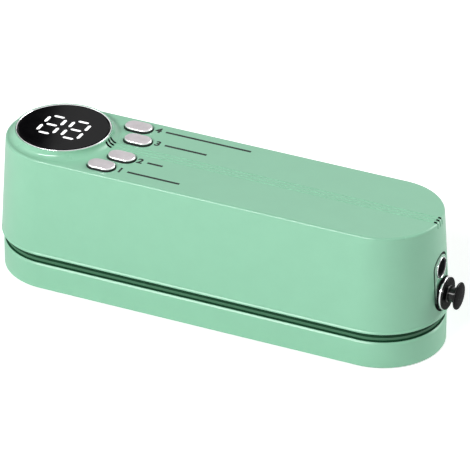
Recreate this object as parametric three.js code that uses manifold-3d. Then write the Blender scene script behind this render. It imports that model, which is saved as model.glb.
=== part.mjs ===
// A handheld vacuum sealer for food bags, closed and at rest, in millimetres.
// The origin is under the middle of the base, +X runs to the end with the air port,
// -Y is the side that the bag goes in from, +Y the side with the hinge, and +Z is up.
import * as THREE from "three";
import { mergeVertices } from "three/addons/utils/BufferGeometryUtils.js";
import Module from "manifold-3d";

const wasm = await Module();
wasm.setup();

// Outline and heights of the two halves
const overallLength = 200;
const rimHalfWidth = 27.5;
const topDraft = 2.5;
const baseStep = 0.9;
const baseHeight = 12.3;
const grooveHeight = 4.4;
const housingHeight = 44;
const topEdgeRadius = 1.1;
const baseEdge = 0.5;

// Clearances
const fit = 0.3;
const snug = 0.15;
const filmGap = 0.1;
const overrun = 2;
const weldDistance = 0.001;

// Fineness of round shapes
const endSides = 22;
const innerEndSides = 12;
const displaySides = 48;
const roundSides = 24;
const smallSides = 12;
const capSides = 9;
const slotSides = 6;
const edgeSteps = 3;
const flareSteps = 5;

// Base: shell, rubber pad underneath, and the two screws that hold the tray
const baseWall = 1.8;
const baseFloor = 3.4;
const padInset = 5;
const padThickness = 1.2;
const padProud = 0.3;
const trayScrewBeyondArc = 7.5;
const trayBossRadius = 3.2;
const trayScrewReach = 6.4;

// Tray: neck inside the groove, deck, vacuum trough and the channels around it
const neckWall = 1.6;
const mouthGap = 0.7;
const deckDrop = 2;
const deckThickness = 3.2;
const troughEndGap = 22.5;
const troughFloorGap = 0.8;
const troughWall = 1.4;
const gasketInset = 1.4;
const gasketWidth = 3;
const gasketSeatDepth = 1.5;
const closureAboveNeck = 0.2;
const gasketToSeal = 2.8;
const gasketToScrews = 1.25;
const sealFromScrews = 6.3;
const sealEndGap = 7.5;
const pressStripWidth = 6;
const pressStripCrown = 0.8;

// Screws, all of one size
const screwRadius = 1.1;
const screwHeadRadius = 2.2;
const screwHeadHeight = 0.9;

// Closing magnets
const magnetBeyondSeal = 11;
const magnetBehindSeal = 3.5;
const magnetRadius = 3;
const magnetThickness = 2;
const strikeThickness = 1.4;

// Hinge, in the groove along the back
const hingeInset = 2.3;
const hingeFromArc = 34.5;
const pinRadius = 0.9;
const housingKnuckleLength = 6;
const baseKnuckleLength = 4.7;
const knuckleWebThickness = 1.6;

// Housing shell
const housingWall = 1.8;
const topWall = 2;
const jawThickness = 2.4;
const jawRecess = 0.2;
const bossRadius = 2.5;
const bossInset = 3.2;
const bossScrewReach = 12;
const bossToBoard = 4;
const bossToMotor = 1.5;
const topGroovePitch = 2.35;
const topGrooveWidth = 0.7;
const topGrooveDepth = 0.4;
const topGrooveCount = 3;

// Heater in the upper jaw
const heaterBarWidth = 7;
const heaterBarThickness = 1;
const heatingStripWidth = 2.6;
const heatingStripThickness = 0.3;
const coverWidth = 6.4;
const coverThickness = 0.2;

// Round display on its raised collar
const displayBeyondArc = 0.7;
const lensThickness = 2;
const bezelWidth = 0.5;
const bezelProud = 0.1;
const collarRise = 3.2;
const collarRimWidth = 0.5;
const collarFlare = 3.2;
const collarInset = 1.1;
const ledgeHoleShare = 0.799;
const digitPitchShare = 0.58;
const digitHalfWidthShare = 0.1923;
const digitHalfHeightShare = 0.379;
const segmentWidthShare = 0.1005;
const segmentLengthShare = 0.268;
const segmentSunk = 0.05;
const moduleMargin = 1.5;
const boardThickness = 1.6;
const displayBoardDepth = 6.7;
const displayBoardInset = 1.1;
const displayBoardSideGap = 3.7;
const displayBoardReach = 39.2;
const boardPostRadius = 1.8;
const boardPostReach = 15.2;
const boardPostInset = 2.1;
const boardPostEndGap = 2.4;

// Four push buttons on an arc about the display
const buttonArcGap = 12.2;
const buttonSideGap = 7.284;
const buttonRowShares = [-1, -0.4345, 0.4345, 1];
const capLength = 12;
const capSideGap = 2.62;
const capProud = 1.5;
const capEdge = 0.6;
const capGap = 0.25;
const capFlangeWidth = 0.6;
const capFlangeThickness = 0.6;
const capStemRadius = 1.5;
const buttonTravel = 0.8;
const switchHalfWidth = 3;
const switchHeight = 3.4;
const plungerRadius = 1.7;
const plungerDepth = 2;

// End plate, charging socket and air port
const plateHalfWidth = 6.1;
const plateAboveRim = 3.2;
const plateHeight = 25.4;
const plateThickness = 1.2;
const plateGap = 0.45;
const endBossMargin = 2;
const endBossDepth = 5;
const socketAboveFoot = 19.15;
const socketRadius = 4.1;
const socketChamfer = 0.6;
const jackHalfWidth = 5;
const jackLength = 11;
const jackBoreRadius = 2.8;
const jackBoreDepth = 8;
const jackPinRadius = 0.9;
const portAboveFoot = 7.6;
const bushFlangeRadius = 7;
const bushFlangeThickness = 0.9;
const bushHubRadius = 5.2;
const bushHubLength = 0.8;
const bushTubeRadius = 4;
const bushTubeLength = 11;
const bushBoreRadius = 2.6;
const plugFlangeRadius = 6.95;
const plugFlangeThickness = 0.7;
const plugNeckRadius = 3.2;
const plugNeckLength = 4;
const plugKnobRadius = 5.85;
const plugKnobThickness = 1.2;
const plugEdge = 0.35;
const plugStemLength = 8;
const plugLead = 0.6;

// Battery, main circuit board and what carries them
const cellCapRadius = 2.8;
const cellCapHeight = 0.9;
const cellGap = 0.6;
const holderFromDisplay = 26.9;
const holderToMotor = 3.8;
const holderFloor = 1.5;
const holderEndWall = 1.5;
const holderToBosses = 0.7;
const holderSide = 4;
const mainBoardInset = 1.1;
const boardPartShares = [
  [-0.8, -0.5, 0.16, 0.5, 1],
  [-0.35, 0.35, 0.2, 0.8, 0.45],
  [0.1, -0.45, 0.14, 0.9, 0.7],
  [0.55, 0.3, 0.22, 0.8, 0.6],
  [0.8, -0.55, 0.1, 0.6, 0.9],
];
const boardPartHeight = 7;
const boardPartGap = 1.9;
const boardPartHalfWidth = 7;

// Vacuum pump: motor, crank with its eccentric, piston and cylinder block
const motorFromEnd = 73;
const motorLength = 30;
const motorPastElbow = 0.4;
const motorOverElbow = 0.6;
const motorFlat = 2;
const cradleThickness = 1.5;
const cradleToElbow = 0.8;
const cradleHeight = 4.6;
const cradleInset = 2;
const blockWallX = 1.7;
const blockSideGap = 3.5;
const blockSide = 1.8;
const crankCaseGap = 0.9;
const blockTop = 2.2;
const shaftRadius = 1;
const shaftInMotor = 4;
const crankOffset = 1;
const crankShare = 1 / 3;
const crankThickness = 4;
const ringWall = 1.2;
const pistonTravel = 1;
const pistonRadius = 6;
const pistonThickness = 2.4;
const rodRadius = 1.5;
const rodLength = 2.2;
const barbRadius = 1.6;
const barbLength = 3;
const outletRadius = 1;

// Release valve, hoses and the elbow over the trough
const valveInset = 3.2;
const valveToBlock = 2;
const valveStartGap = 1.2;
const valveHalfLength = 6.5;
const valveHeight = 15;
const valveBoreDepth = 9;
const valvePlungerRadius = 2;
const valvePlungerProud = 2.4;
const valveTravel = 1;
const hoseWall = 0.7;
const hoseSides = 5;
const hoseSteps = 12;
const elbowEndGap = 8;
const elbowSideGap = 1.9;
const elbowHalfWidth = 2.2;
const elbowHeight = 5.2;
const portHoleRadius = 1.2;

// Heights of the two halves and of what closes them
const arcX = overallLength / 2 - rimHalfWidth;
const topHalfWidth = rimHalfWidth - topDraft;
const baseHalfWidth = rimHalfWidth - baseStep;
const rimZ = baseHeight + grooveHeight;
const topZ = rimZ + housingHeight;
const innerTopZ = topZ - topWall;
const floorTopZ = padProud + baseFloor;
const padTopZ = padThickness + fit;
const neckHalfWidth = baseHalfWidth - baseWall - fit;
const neckTopZ = rimZ - mouthGap;
const deckZ = neckTopZ - deckDrop;
const deckBottomZ = deckZ - deckThickness;
const closureZ = neckTopZ + closureAboveNeck;
const jawBottomZ = rimZ + jawRecess;
const jawTopZ = jawBottomZ + jawThickness;
const jawHalfWidth = rimHalfWidth - housingWall - fit;
const seatTopZ = jawBottomZ + gasketSeatDepth;
const insideZ = jawTopZ + fit;

// Places of the seal, the trough with its gasket, the magnets and the hinge
const bossY = topHalfWidth - bossInset;
const sealY = sealFromScrews - bossY;
const sealHalfLength = arcX - sealEndGap;
const gasketFrontY = sealY + heaterBarWidth / 2 + snug + gasketToSeal;
const gasketBackY = bossY - screwHeadRadius - fit - gasketToScrews;
const gasketOuter = (gasketBackY - gasketFrontY) / 2 - snug;
const gasketInner = gasketOuter - gasketWidth;
const troughHalfWidth = gasketInner - gasketInset;
const troughY = (gasketBackY + gasketFrontY) / 2;
const troughArcX = arcX - troughEndGap;
const magnetX = sealHalfLength + magnetBeyondSeal;
const magnetY = sealY + magnetBehindSeal;
const trayScrewX = arcX + trayScrewBeyondArc;
const hingeStationX = arcX - hingeFromArc;
const hingeY = rimHalfWidth - hingeInset;
const hingeZ = baseHeight + grooveHeight / 2;
const knuckleRadius = grooveHeight / 2 - fit;
const pinBoreRadius = pinRadius + fit;

// Display, its collar and board, from the collar's foot inwards, and the buttons
const displayX = -arcX - displayBeyondArc;
const collarFootRadius = topHalfWidth - collarInset;
const collarRimRadius = collarFootRadius - collarFlare;
const seatRadius = collarRimRadius - collarRimWidth;
const bezelOuter = seatRadius - snug;
const bezelInner = bezelOuter - bezelWidth;
const lensRadius = bezelInner - snug;
const lensTopZ = topZ + collarRise;
const lensBottomZ = lensTopZ - lensThickness;
const ledgeTopZ = lensBottomZ - snug;
const ledgeHoleRadius = lensRadius * ledgeHoleShare;
const digitPitch = lensRadius * digitPitchShare;
const digitHalfWidth = lensRadius * digitHalfWidthShare;
const digitHalfHeight = lensRadius * digitHalfHeightShare;
const segmentWidth = lensRadius * segmentWidthShare;
const segmentLength = lensRadius * segmentLengthShare;
const displayBoardTopZ = innerTopZ - displayBoardDepth;
const displayBoardRadius = lensRadius - displayBoardInset;
const displayBoardHalfWidth = topHalfWidth - displayBoardSideGap;
const displayBoardEndX = displayX + displayBoardReach;
const buttonArcRadius = lensRadius + buttonArcGap;
const buttonRowY = topHalfWidth - buttonSideGap;
const capWidth = buttonRowY * (buttonRowShares[3] - buttonRowShares[2]) - capSideGap;
const capArcX = (capLength - capWidth) / 2;
const capFlangeTopZ = innerTopZ - fit;
const capFlangeBottomZ = capFlangeTopZ - capFlangeThickness;
const switchBottomZ = displayBoardTopZ + filmGap;
const switchTopZ = switchBottomZ + switchHeight;
const plungerTopZ = switchTopZ + buttonTravel + filmGap;

// End of the housing with its plate, socket and port
const plateBottomZ = rimZ + plateAboveRim;
const plateMiddleZ = plateBottomZ + plateHeight / 2;
const socketZ = plateBottomZ + socketAboveFoot;
const portZ = plateBottomZ + portAboveFoot;
const endWallX = arcX + halfWidthAt(plateMiddleZ);
const endBossX = endWallX - endBossDepth;
const portFaceX = arcX + halfWidthAt(portZ);
const bushFlangeX = portFaceX + bushHubLength;
const plugFlangeX = bushFlangeX + bushFlangeThickness + snug;

// Elbow and hose over the trough, pump, cells and main board
const elbowX = troughArcX - elbowEndGap;
const elbowY = troughY + troughHalfWidth - elbowSideGap;
const hoseInner = barbRadius + fit;
const hoseOuter = hoseInner + hoseWall;
const hoseZ = insideZ + fit + hoseOuter;
const hoseY = elbowY + elbowHalfWidth + barbLength + fit + hoseOuter;
const motorRadius = elbowY + motorPastElbow;
const motorFlatHalfHeight = motorRadius - motorFlat;
const motorStartX = overallLength / 2 - motorFromEnd;
const motorEndX = motorStartX + motorLength;
const elbowFrontY = elbowY - elbowHalfWidth;
const motorOnCradleZ = insideZ + cradleThickness + fit + motorRadius;
const motorDrop = Math.sqrt(motorRadius ** 2 - elbowFrontY ** 2);
const motorZ = Math.max(motorOnCradleZ, insideZ + elbowHeight + motorOverElbow + motorDrop);
const cradleHalfWidth = elbowFrontY - cradleToElbow;
const blockX = motorEndX + fit;
const crankRadius = motorRadius * crankShare;
const ringInner = crankRadius + crankOffset + pistonTravel + fit;
const ringOuter = ringInner + ringWall;
const pistonX = blockX + blockWallX + fit + pistonRadius;
const crankX = pistonX - crankThickness / 2;
const blockEndX = pistonX + ringOuter + fit + blockWallX;
const blockHalfWidth = ringOuter + blockSideGap;
const crankCaseZ = motorZ - ringOuter - pistonTravel - crankCaseGap;
const cylinderBottomZ = motorZ + ringOuter + pistonTravel + fit;
const pistonBottomZ = motorZ + ringOuter + rodLength;
const cylinderTopZ = pistonBottomZ + pistonThickness + pistonTravel + fit;
const blockTopZ = cylinderTopZ + blockTop;
const valveOuterY = jawHalfWidth - valveInset;
const valveHalfWidth = (valveOuterY - blockHalfWidth - valveToBlock) / 2;
const valveY = valveOuterY - valveHalfWidth;
const valveX = blockX + valveStartGap + valveHalfLength;
const bossX = [displayBoardEndX + bossToBoard, motorStartX - bossToMotor];
const holderHalfWidth = bossY - bossRadius - holderToBosses;
const holderStartX = displayX + holderFromDisplay;
const holderEndX = motorStartX - holderToMotor;
const partTopZ = displayBoardTopZ - boardThickness - boardPartGap;
const mainBoardZ = partTopZ - boardPartHeight - boardThickness;
const mainBoardHalfWidth = holderHalfWidth - mainBoardInset;
const cellRoomAcross = (holderHalfWidth - filmGap - cellGap / 2) / 2;
const cellRoomUp = (mainBoardZ - fit - insideZ - holderFloor - fit) / 2;
const cellRadius = Math.min(cellRoomAcross, cellRoomUp);
const cellSpacing = cellRadius * 2 + cellGap;
const cellZ = insideZ + holderFloor + fit + cellRadius;
const cellStartX = holderStartX + holderEndWall + fit;
const cellEndX = holderEndX - holderEndWall - fit - cellCapHeight;

// Half width of the housing's drafted wall at a height.
function halfWidthAt(z) {
  return rimHalfWidth + ((topHalfWidth - rimHalfWidth) * (z - rimZ)) / housingHeight;
}

// A closed geometry as a solid that can be cut and joined.
function solidOf(geometry) {
  const bare = geometry.index ? geometry.toNonIndexed() : geometry.clone();
  for (const name of Object.keys(bare.attributes))
    if (name !== "position") bare.deleteAttribute(name);
  const merged = mergeVertices(bare, weldDistance);
  const corners = merged.index.array;
  const triVerts = [];
  for (let i = 0; i < corners.length; i += 3) {
    const [a, b, c] = [corners[i], corners[i + 1], corners[i + 2]];
    if (a !== b && b !== c && c !== a) triVerts.push(a, b, c);
  }
  const vertProperties = merged.attributes.position.array;
  const mesh = new wasm.Mesh({ numProp: 3, vertProperties, triVerts: new Uint32Array(triVerts) });
  return new wasm.Manifold(mesh);
}

// A named mesh of a solid, added to the group that carries it.
function addPiece(group, name, solid, finish) {
  const { numProp, vertProperties, triVerts } = solid.getMesh();
  const geometry = new THREE.BufferGeometry();
  const count = vertProperties.length / numProp;
  const positions = new Float32Array(count * 3);
  for (let i = 0; i < count; i++)
    for (let k = 0; k < 3; k++) positions[i * 3 + k] = vertProperties[i * numProp + k];
  geometry.setAttribute("position", new THREE.BufferAttribute(positions, 3));
  geometry.setIndex(new THREE.BufferAttribute(triVerts, 1));
  geometry.computeVertexNormals();
  const mesh = new THREE.Mesh(geometry, finish);
  mesh.name = name;
  group.add(mesh);
  return mesh;
}

function finish(color, roughness, metalness = 0) {
  return new THREE.MeshStandardMaterial({ color, roughness, metalness });
}

// A block between two limits on each axis.
function block([x0, x1], [y0, y1], [z0, z1]) {
  const geometry = new THREE.BoxGeometry(x1 - x0, y1 - y0, z1 - z0);
  geometry.translate((x0 + x1) / 2, (y0 + y1) / 2, (z0 + z1) / 2);
  return solidOf(geometry);
}

// A round bar along X between two places, with its centre line at y and z.
function barX(radius, [from, to], y, z, sides = roundSides) {
  const geometry = new THREE.CylinderGeometry(radius, radius, to - from, sides);
  geometry.rotateZ(-Math.PI / 2);
  geometry.translate((from + to) / 2, y, z);
  return solidOf(geometry);
}

// A round bar along Z between two heights, with its centre line at x and y.
function barZ(radius, [from, to], x, y, sides = roundSides) {
  const geometry = new THREE.CylinderGeometry(radius, radius, to - from, sides);
  geometry.rotateX(Math.PI / 2);
  geometry.translate(x, y, (from + to) / 2);
  return solidOf(geometry);
}

// A shape turned about the Z axis from [radius, z] points that start and end on it.
function turned(profile, x, y, sides = roundSides) {
  const points = profile.map(([radius, z]) => new THREE.Vector2(radius, z));
  const geometry = new THREE.LatheGeometry(points, sides);
  geometry.rotateX(Math.PI / 2);
  geometry.translate(x, y, 0);
  return solidOf(geometry);
}

// The same about a line along X: the points are [radius, x].
function turnedX(profile, y, z, sides = roundSides) {
  const points = profile.map(([radius, x]) => new THREE.Vector2(radius, x));
  const geometry = new THREE.LatheGeometry(points, sides);
  geometry.rotateZ(-Math.PI / 2);
  geometry.translate(0, y, z);
  return solidOf(geometry);
}

// A long shape with round ends: a turned profile whose halves stand apart by twice reach.
function longTurned(profile, reach, x = 0, y = 0, sides = endSides) {
  const ring = [];
  for (let end = 0; end < 2; end++)
    for (let i = 0; i <= sides; i++) {
      const angle = Math.PI * (end + i / sides) - Math.PI / 2;
      ring.push([Math.cos(angle), Math.sin(angle), end === 0 ? reach : -reach]);
    }
  const corner = ([radius, z], [cos, sin, shift]) => [x + shift + radius * cos, y + radius * sin, z];
  const positions = [];
  for (let level = 0; level + 1 < profile.length; level++)
    for (let i = 0; i < ring.length; i++) {
      const next = (i + 1) % ring.length;
      const a = corner(profile[level], ring[i]);
      const b = corner(profile[level], ring[next]);
      const c = corner(profile[level + 1], ring[next]);
      const d = corner(profile[level + 1], ring[i]);
      positions.push(...a, ...b, ...c, ...a, ...c, ...d);
    }
  const geometry = new THREE.BufferGeometry();
  geometry.setAttribute("position", new THREE.Float32BufferAttribute(positions, 3));
  return solidOf(geometry);
}

// A straight-sided slab with round ends between two heights.
function longSlab(halfWidth, reach, [z0, z1], x = 0, y = 0, sides = endSides) {
  return longTurned([[0, z0], [halfWidth, z0], [halfWidth, z1], [0, z1]], reach, x, y, sides);
}

// A prism along X whose section, seen from +X, is an upright slot with round ends.
function uprightSlot(halfWidth, [z0, z1], [x0, x1]) {
  const shape = new THREE.Shape();
  shape.absarc(0, z1 - halfWidth, halfWidth, 0, Math.PI, false);
  shape.absarc(0, z0 + halfWidth, halfWidth, Math.PI, 2 * Math.PI, false);
  const geometry = new THREE.ExtrudeGeometry(shape, {
    depth: x1 - x0,
    bevelEnabled: false,
    curveSegments: slotSides,
  });
  geometry.rotateX(Math.PI / 2);
  geometry.rotateZ(Math.PI / 2);
  geometry.translate(x0, 0, 0);
  return solidOf(geometry);
}

// A hose with its bore along a smooth curve through the given places.
function hose(places, outer, inner) {
  const curve = new THREE.CatmullRomCurve3(places.map((place) => new THREE.Vector3(...place)));
  const section = new THREE.Shape();
  section.absarc(0, 0, outer, 0, 2 * Math.PI, false);
  const bore = new THREE.Path();
  bore.absarc(0, 0, inner, 0, 2 * Math.PI, true);
  section.holes.push(bore);
  const geometry = new THREE.ExtrudeGeometry(section, {
    steps: hoseSteps,
    extrudePath: curve,
    curveSegments: hoseSides,
  });
  return solidOf(geometry);
}

// Points of a quarter round from the side of a profile up and in to its top.
function topRound(radius, z, edge) {
  const points = [];
  for (let i = 0; i <= edgeSteps; i++) {
    const angle = (Math.PI / 2) * (i / edgeSteps);
    points.push([radius - edge + edge * Math.cos(angle), z - edge + edge * Math.sin(angle)]);
  }
  return points;
}

// The housing's outside as a solid, drawn in by an inset all round but not at the rim.
function housingBody(inset, z0, z1, edge) {
  const bottom = [halfWidthAt(z0) - inset, z0];
  const side = topRound(halfWidthAt(z1) - inset, z1, edge);
  return longTurned([[0, z0], bottom, ...side, [0, z1]], arcX);
}

// Base shell with its pad recess, screw holes and the two fixed knuckles of each hinge.
function baseShell() {
  const outside = longTurned(
    [
      [0, padProud],
      [baseHalfWidth - baseEdge, padProud],
      [baseHalfWidth, padProud + baseEdge],
      [baseHalfWidth, baseHeight - baseEdge],
      [baseHalfWidth - baseEdge, baseHeight],
      [0, baseHeight],
    ],
    arcX,
  );
  const inside = longSlab(baseHalfWidth - baseWall, arcX, [floorTopZ, baseHeight + overrun]);
  const padSeat = longSlab(baseHalfWidth - padInset + fit, arcX, [padProud - overrun, padTopZ]);
  let shell = outside.subtract(inside).subtract(padSeat);
  for (const x of [-trayScrewX, trayScrewX]) {
    const headTopZ = padTopZ + fit + screwHeadHeight + filmGap;
    shell = shell.subtract(barZ(screwHeadRadius + fit, [padProud, headTopZ], x, 0, smallSides));
    shell = shell.subtract(barZ(screwRadius + fit, [padProud, baseHeight], x, 0, smallSides));
  }
  for (const x of [-hingeStationX, hingeStationX]) shell = shell.add(baseKnuckles(x));
  return shell;
}

// Two knuckles that stand on the base's back wall, with the pin's bore through them.
function baseKnuckles(x) {
  const near = housingKnuckleLength / 2 + fit;
  const far = near + baseKnuckleLength;
  let knuckles;
  for (const [from, to] of [[x - far, x - near], [x + near, x + far]]) {
    const barrel = barX(knuckleRadius, [from, to], hingeY, hingeZ, smallSides);
    const backY = baseHalfWidth - snug;
    const web = block(
      [from, to],
      [backY - knuckleWebThickness, backY],
      [baseHeight - baseEdge * 2, hingeZ],
    );
    const knuckle = barrel.add(web);
    knuckles = knuckles ? knuckles.add(knuckle) : knuckle;
  }
  const boreX = [x - far - fit, x + far + fit];
  return knuckles.subtract(barX(pinRadius + snug, boreX, hingeY, hingeZ, smallSides));
}

function hingePin(x) {
  const half = housingKnuckleLength / 2 + fit + baseKnuckleLength;
  return barX(pinRadius, [x - half, x + half], hingeY, hingeZ, smallSides);
}

function gripPad() {
  return longSlab(baseHalfWidth - padInset, arcX, [0, padThickness]);
}

function screw(headBottomZ, reach, x, y) {
  const headTopZ = headBottomZ + screwHeadHeight;
  return turned(
    [
      [0, headBottomZ],
      [screwHeadRadius, headBottomZ],
      [screwHeadRadius, headTopZ],
      [screwRadius, headTopZ],
      [screwRadius, headTopZ + reach],
      [0, headTopZ + reach],
    ],
    x,
    y,
    smallSides,
  );
}

// Tray that fills the base: neck, deck with the vacuum trough, gasket seat and channels.
function vacuumTray() {
  const trayBottomZ = floorTopZ + fit;
  const troughBottomZ = trayBottomZ + troughFloorGap + troughWall;
  const body = longSlab(neckHalfWidth, arcX, [trayBottomZ, neckTopZ]);
  const above = longSlab(neckHalfWidth - neckWall, arcX, [deckZ, neckTopZ + overrun]);
  const below = longSlab(neckHalfWidth - neckWall, arcX, [trayBottomZ - overrun, deckBottomZ]);
  const troughShell = longSlab(
    troughHalfWidth + troughWall,
    troughArcX,
    [troughBottomZ - troughWall, deckZ - gasketSeatDepth],
    0,
    troughY,
    innerEndSides,
  );
  let tray = body.subtract(above).subtract(below).add(troughShell);
  const bossTopZ = deckZ - gasketSeatDepth;
  for (const x of [-trayScrewX, trayScrewX])
    tray = tray
      .add(barZ(trayBossRadius, [trayBottomZ, bossTopZ], x, 0, smallSides))
      .subtract(barZ(screwRadius + fit, [trayBottomZ - overrun, bossTopZ], x, 0, smallSides));
  tray = tray
    .subtract(trough([troughBottomZ, neckTopZ]))
    .subtract(gasketRing([deckZ - gasketSeatDepth, neckTopZ], snug));
  const stripHalf = pressStripWidth / 2 + snug;
  const channelX = sealHalfLength + snug;
  const seatZ = deckZ - gasketSeatDepth;
  tray = tray.subtract(
    block([-channelX, channelX], [sealY - stripHalf, sealY + stripHalf], [seatZ, neckTopZ]),
  );
  for (const x of [-magnetX, magnetX])
    tray = tray.subtract(
      barZ(magnetRadius + snug, [deckZ - magnetThickness - filmGap, neckTopZ], x, magnetY, smallSides),
    );
  return tray.subtract(hingeNotches());
}

// The neck is cut away where the hinge knuckles turn.
function hingeNotches() {
  const half = housingKnuckleLength / 2 + fit * 2 + baseKnuckleLength;
  const frontY = hingeY - knuckleRadius - fit;
  let notches;
  for (const x of [-hingeStationX, hingeStationX]) {
    const notch = block([x - half, x + half], [frontY, rimHalfWidth], [baseHeight, neckTopZ + overrun]);
    notches = notches ? notches.add(notch) : notch;
  }
  return notches;
}

// The room inside the trough between two heights.
function trough(z) {
  return longSlab(troughHalfWidth, troughArcX, z, 0, troughY, innerEndSides);
}

// A flat ring that follows the trough, wider than the gasket by a margin on both sides.
function gasketRing([z0, z1], margin) {
  const outer = longSlab(gasketOuter + margin, troughArcX, [z0, z1], 0, troughY, innerEndSides);
  const inner = longSlab(
    gasketInner - margin,
    troughArcX,
    [z0 - overrun, z1 + overrun],
    0,
    troughY,
    innerEndSides,
  );
  return outer.subtract(inner);
}

// Soft bar that the heater presses the bag against, with a crowned top.
function pressStrip() {
  const half = pressStripWidth / 2;
  const bottomZ = deckZ - gasketSeatDepth + snug;
  const shape = new THREE.Shape();
  shape.moveTo(-half, bottomZ);
  shape.lineTo(half, bottomZ);
  shape.lineTo(half, closureZ - pressStripCrown);
  shape.quadraticCurveTo(0, closureZ + pressStripCrown, -half, closureZ - pressStripCrown);
  shape.closePath();
  const geometry = new THREE.ExtrudeGeometry(shape, {
    depth: sealHalfLength * 2,
    bevelEnabled: false,
    curveSegments: edgeSteps * 2,
  });
  geometry.rotateX(Math.PI / 2);
  geometry.rotateZ(Math.PI / 2);
  geometry.translate(-sealHalfLength, sealY, 0);
  return solidOf(geometry);
}

// Plate that closes the housing from below and carries the upper seal and the heater.
function jawPlate() {
  let plate = longSlab(jawHalfWidth, arcX, [jawBottomZ, jawTopZ]);
  plate = plate.subtract(gasketRing([jawBottomZ - overrun, seatTopZ], snug));
  const barHalf = heaterBarWidth / 2 + snug;
  const barX1 = sealHalfLength + snug;
  plate = plate.subtract(
    block([-barX1, barX1], [sealY - barHalf, sealY + barHalf], [jawBottomZ - overrun, seatTopZ]),
  );
  for (const x of [-magnetX, magnetX])
    plate = plate.subtract(
      barZ(magnetRadius + snug, [jawBottomZ - overrun, seatTopZ], x, magnetY, smallSides),
    );
  for (const [x, y] of bossPlaces()) {
    const headTopZ = jawBottomZ + screwHeadHeight + snug;
    plate = plate
      .subtract(barZ(screwHeadRadius + fit, [jawBottomZ - overrun, headTopZ], x, y, smallSides))
      .subtract(barZ(screwRadius + fit, [jawBottomZ, jawTopZ + overrun], x, y, smallSides));
  }
  plate = plate.subtract(
    barZ(portHoleRadius, [jawBottomZ - overrun, jawTopZ + overrun], elbowX, elbowY, smallSides),
  );
  for (const x of [-hingeStationX, hingeStationX]) plate = plate.add(housingKnuckle(x));
  return plate;
}

// The turning knuckle under the back edge of the jaw plate.
function housingKnuckle(x) {
  const half = housingKnuckleLength / 2;
  const barrel = barX(knuckleRadius, [x - half, x + half], hingeY, hingeZ, smallSides);
  const web = block(
    [x - half, x + half],
    [hingeY - knuckleWebThickness, hingeY],
    [hingeZ, jawBottomZ + jawThickness / 2],
  );
  const boreX = [x - half - overrun, x + half + overrun];
  const bore = barX(pinBoreRadius, boreX, hingeY, hingeZ, smallSides);
  return barrel.add(web).subtract(bore);
}

// The four places where screws go up through the jaw plate into the housing.
function bossPlaces() {
  return bossX.flatMap((x) => [[x, -bossY], [x, bossY]]);
}

// The three posts that the display board is screwed to.
function boardPosts() {
  const x = displayX + boardPostReach;
  const y = displayBoardHalfWidth - boardPostInset;
  return [[x, y], [x, -y], [displayBoardEndX - boardPostEndGap, 0]];
}

// Housing shell: drafted wall, display collar, button holes, bosses and the end recess.
function housingShell() {
  const outside = housingBody(0, rimZ, topZ, topEdgeRadius).add(collar());
  const cavity = longTurned(
    [
      [0, rimZ - overrun],
      [halfWidthAt(rimZ) - housingWall, rimZ - overrun],
      [halfWidthAt(rimZ) - housingWall, rimZ],
      [halfWidthAt(innerTopZ) - housingWall, innerTopZ],
      [0, innerTopZ],
    ],
    arcX,
  );
  let shell = outside.subtract(cavity);
  const boreZ = [insideZ - overrun, insideZ + bossScrewReach];
  for (const [x, y] of bossPlaces())
    shell = shell
      .add(barZ(bossRadius, [insideZ, innerTopZ + fit], x, y, smallSides))
      .subtract(barZ(screwRadius + fit, boreZ, x, y, smallSides));
  const postZ = [displayBoardTopZ + fit, innerTopZ + fit];
  for (const [x, y] of boardPosts())
    shell = shell.add(barZ(boardPostRadius, postZ, x, y, smallSides));
  shell = shell.add(endBoss());
  shell = shell
    .subtract(barZ(seatRadius, [ledgeTopZ, lensTopZ + overrun], displayX, 0, displaySides))
    .subtract(barZ(ledgeHoleRadius, [innerTopZ - overrun, lensTopZ], displayX, 0));
  for (const [x, y] of buttonPlaces())
    shell = shell.subtract(
      longSlab(capWidth / 2 + capGap, capArcX, [innerTopZ - overrun, topZ + overrun], x, y, capSides),
    );
  return shell.subtract(endRecess()).subtract(topGrooves());
}

// Raised ring round the display, with a hollow flare down to the flat top.
function collar() {
  const profile = [[0, innerTopZ], [collarFootRadius, innerTopZ]];
  for (let i = 0; i <= flareSteps; i++) {
    const angle = (Math.PI / 2) * (i / flareSteps);
    profile.push([
      collarFootRadius - collarFlare * Math.sin(angle),
      lensTopZ - collarFlare * Math.cos(angle),
    ]);
  }
  profile.push([0, lensTopZ]);
  const ring = turned(profile, displayX, 0, displaySides);
  const limit = longSlab(halfWidthAt(topZ - topEdgeRadius), arcX, [rimZ, lensTopZ + overrun]);
  return ring.intersect(limit);
}

// Fine lines along the top, cut from the collar to the far end and a little way down it.
function topGrooves() {
  const x = [displayX + collarRimRadius, arcX + rimHalfWidth];
  const z = [topZ - topGrooveDepth, lensTopZ];
  const half = topGrooveWidth / 2;
  let cuts;
  for (let i = 0; i < topGrooveCount; i++) {
    const y = (i - (topGrooveCount - 1) / 2) * topGroovePitch;
    const cut = block(x, [y - half, y + half], z);
    cuts = cuts ? cuts.add(cut) : cut;
  }
  const skin = housingBody(0, topZ - topEdgeRadius * 2, topZ + overrun, topEdgeRadius);
  return cuts.intersect(skin);
}

// Thick patch behind the end recess, flat on the inside.
function endBoss() {
  const slot = uprightSlot(
    plateHalfWidth + endBossMargin,
    [insideZ, plateBottomZ + plateHeight + endBossMargin],
    [endBossX, arcX + rimHalfWidth],
  );
  return slot.intersect(housingBody(housingWall / 2, rimZ, topZ - topEdgeRadius, topEdgeRadius));
}

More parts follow.
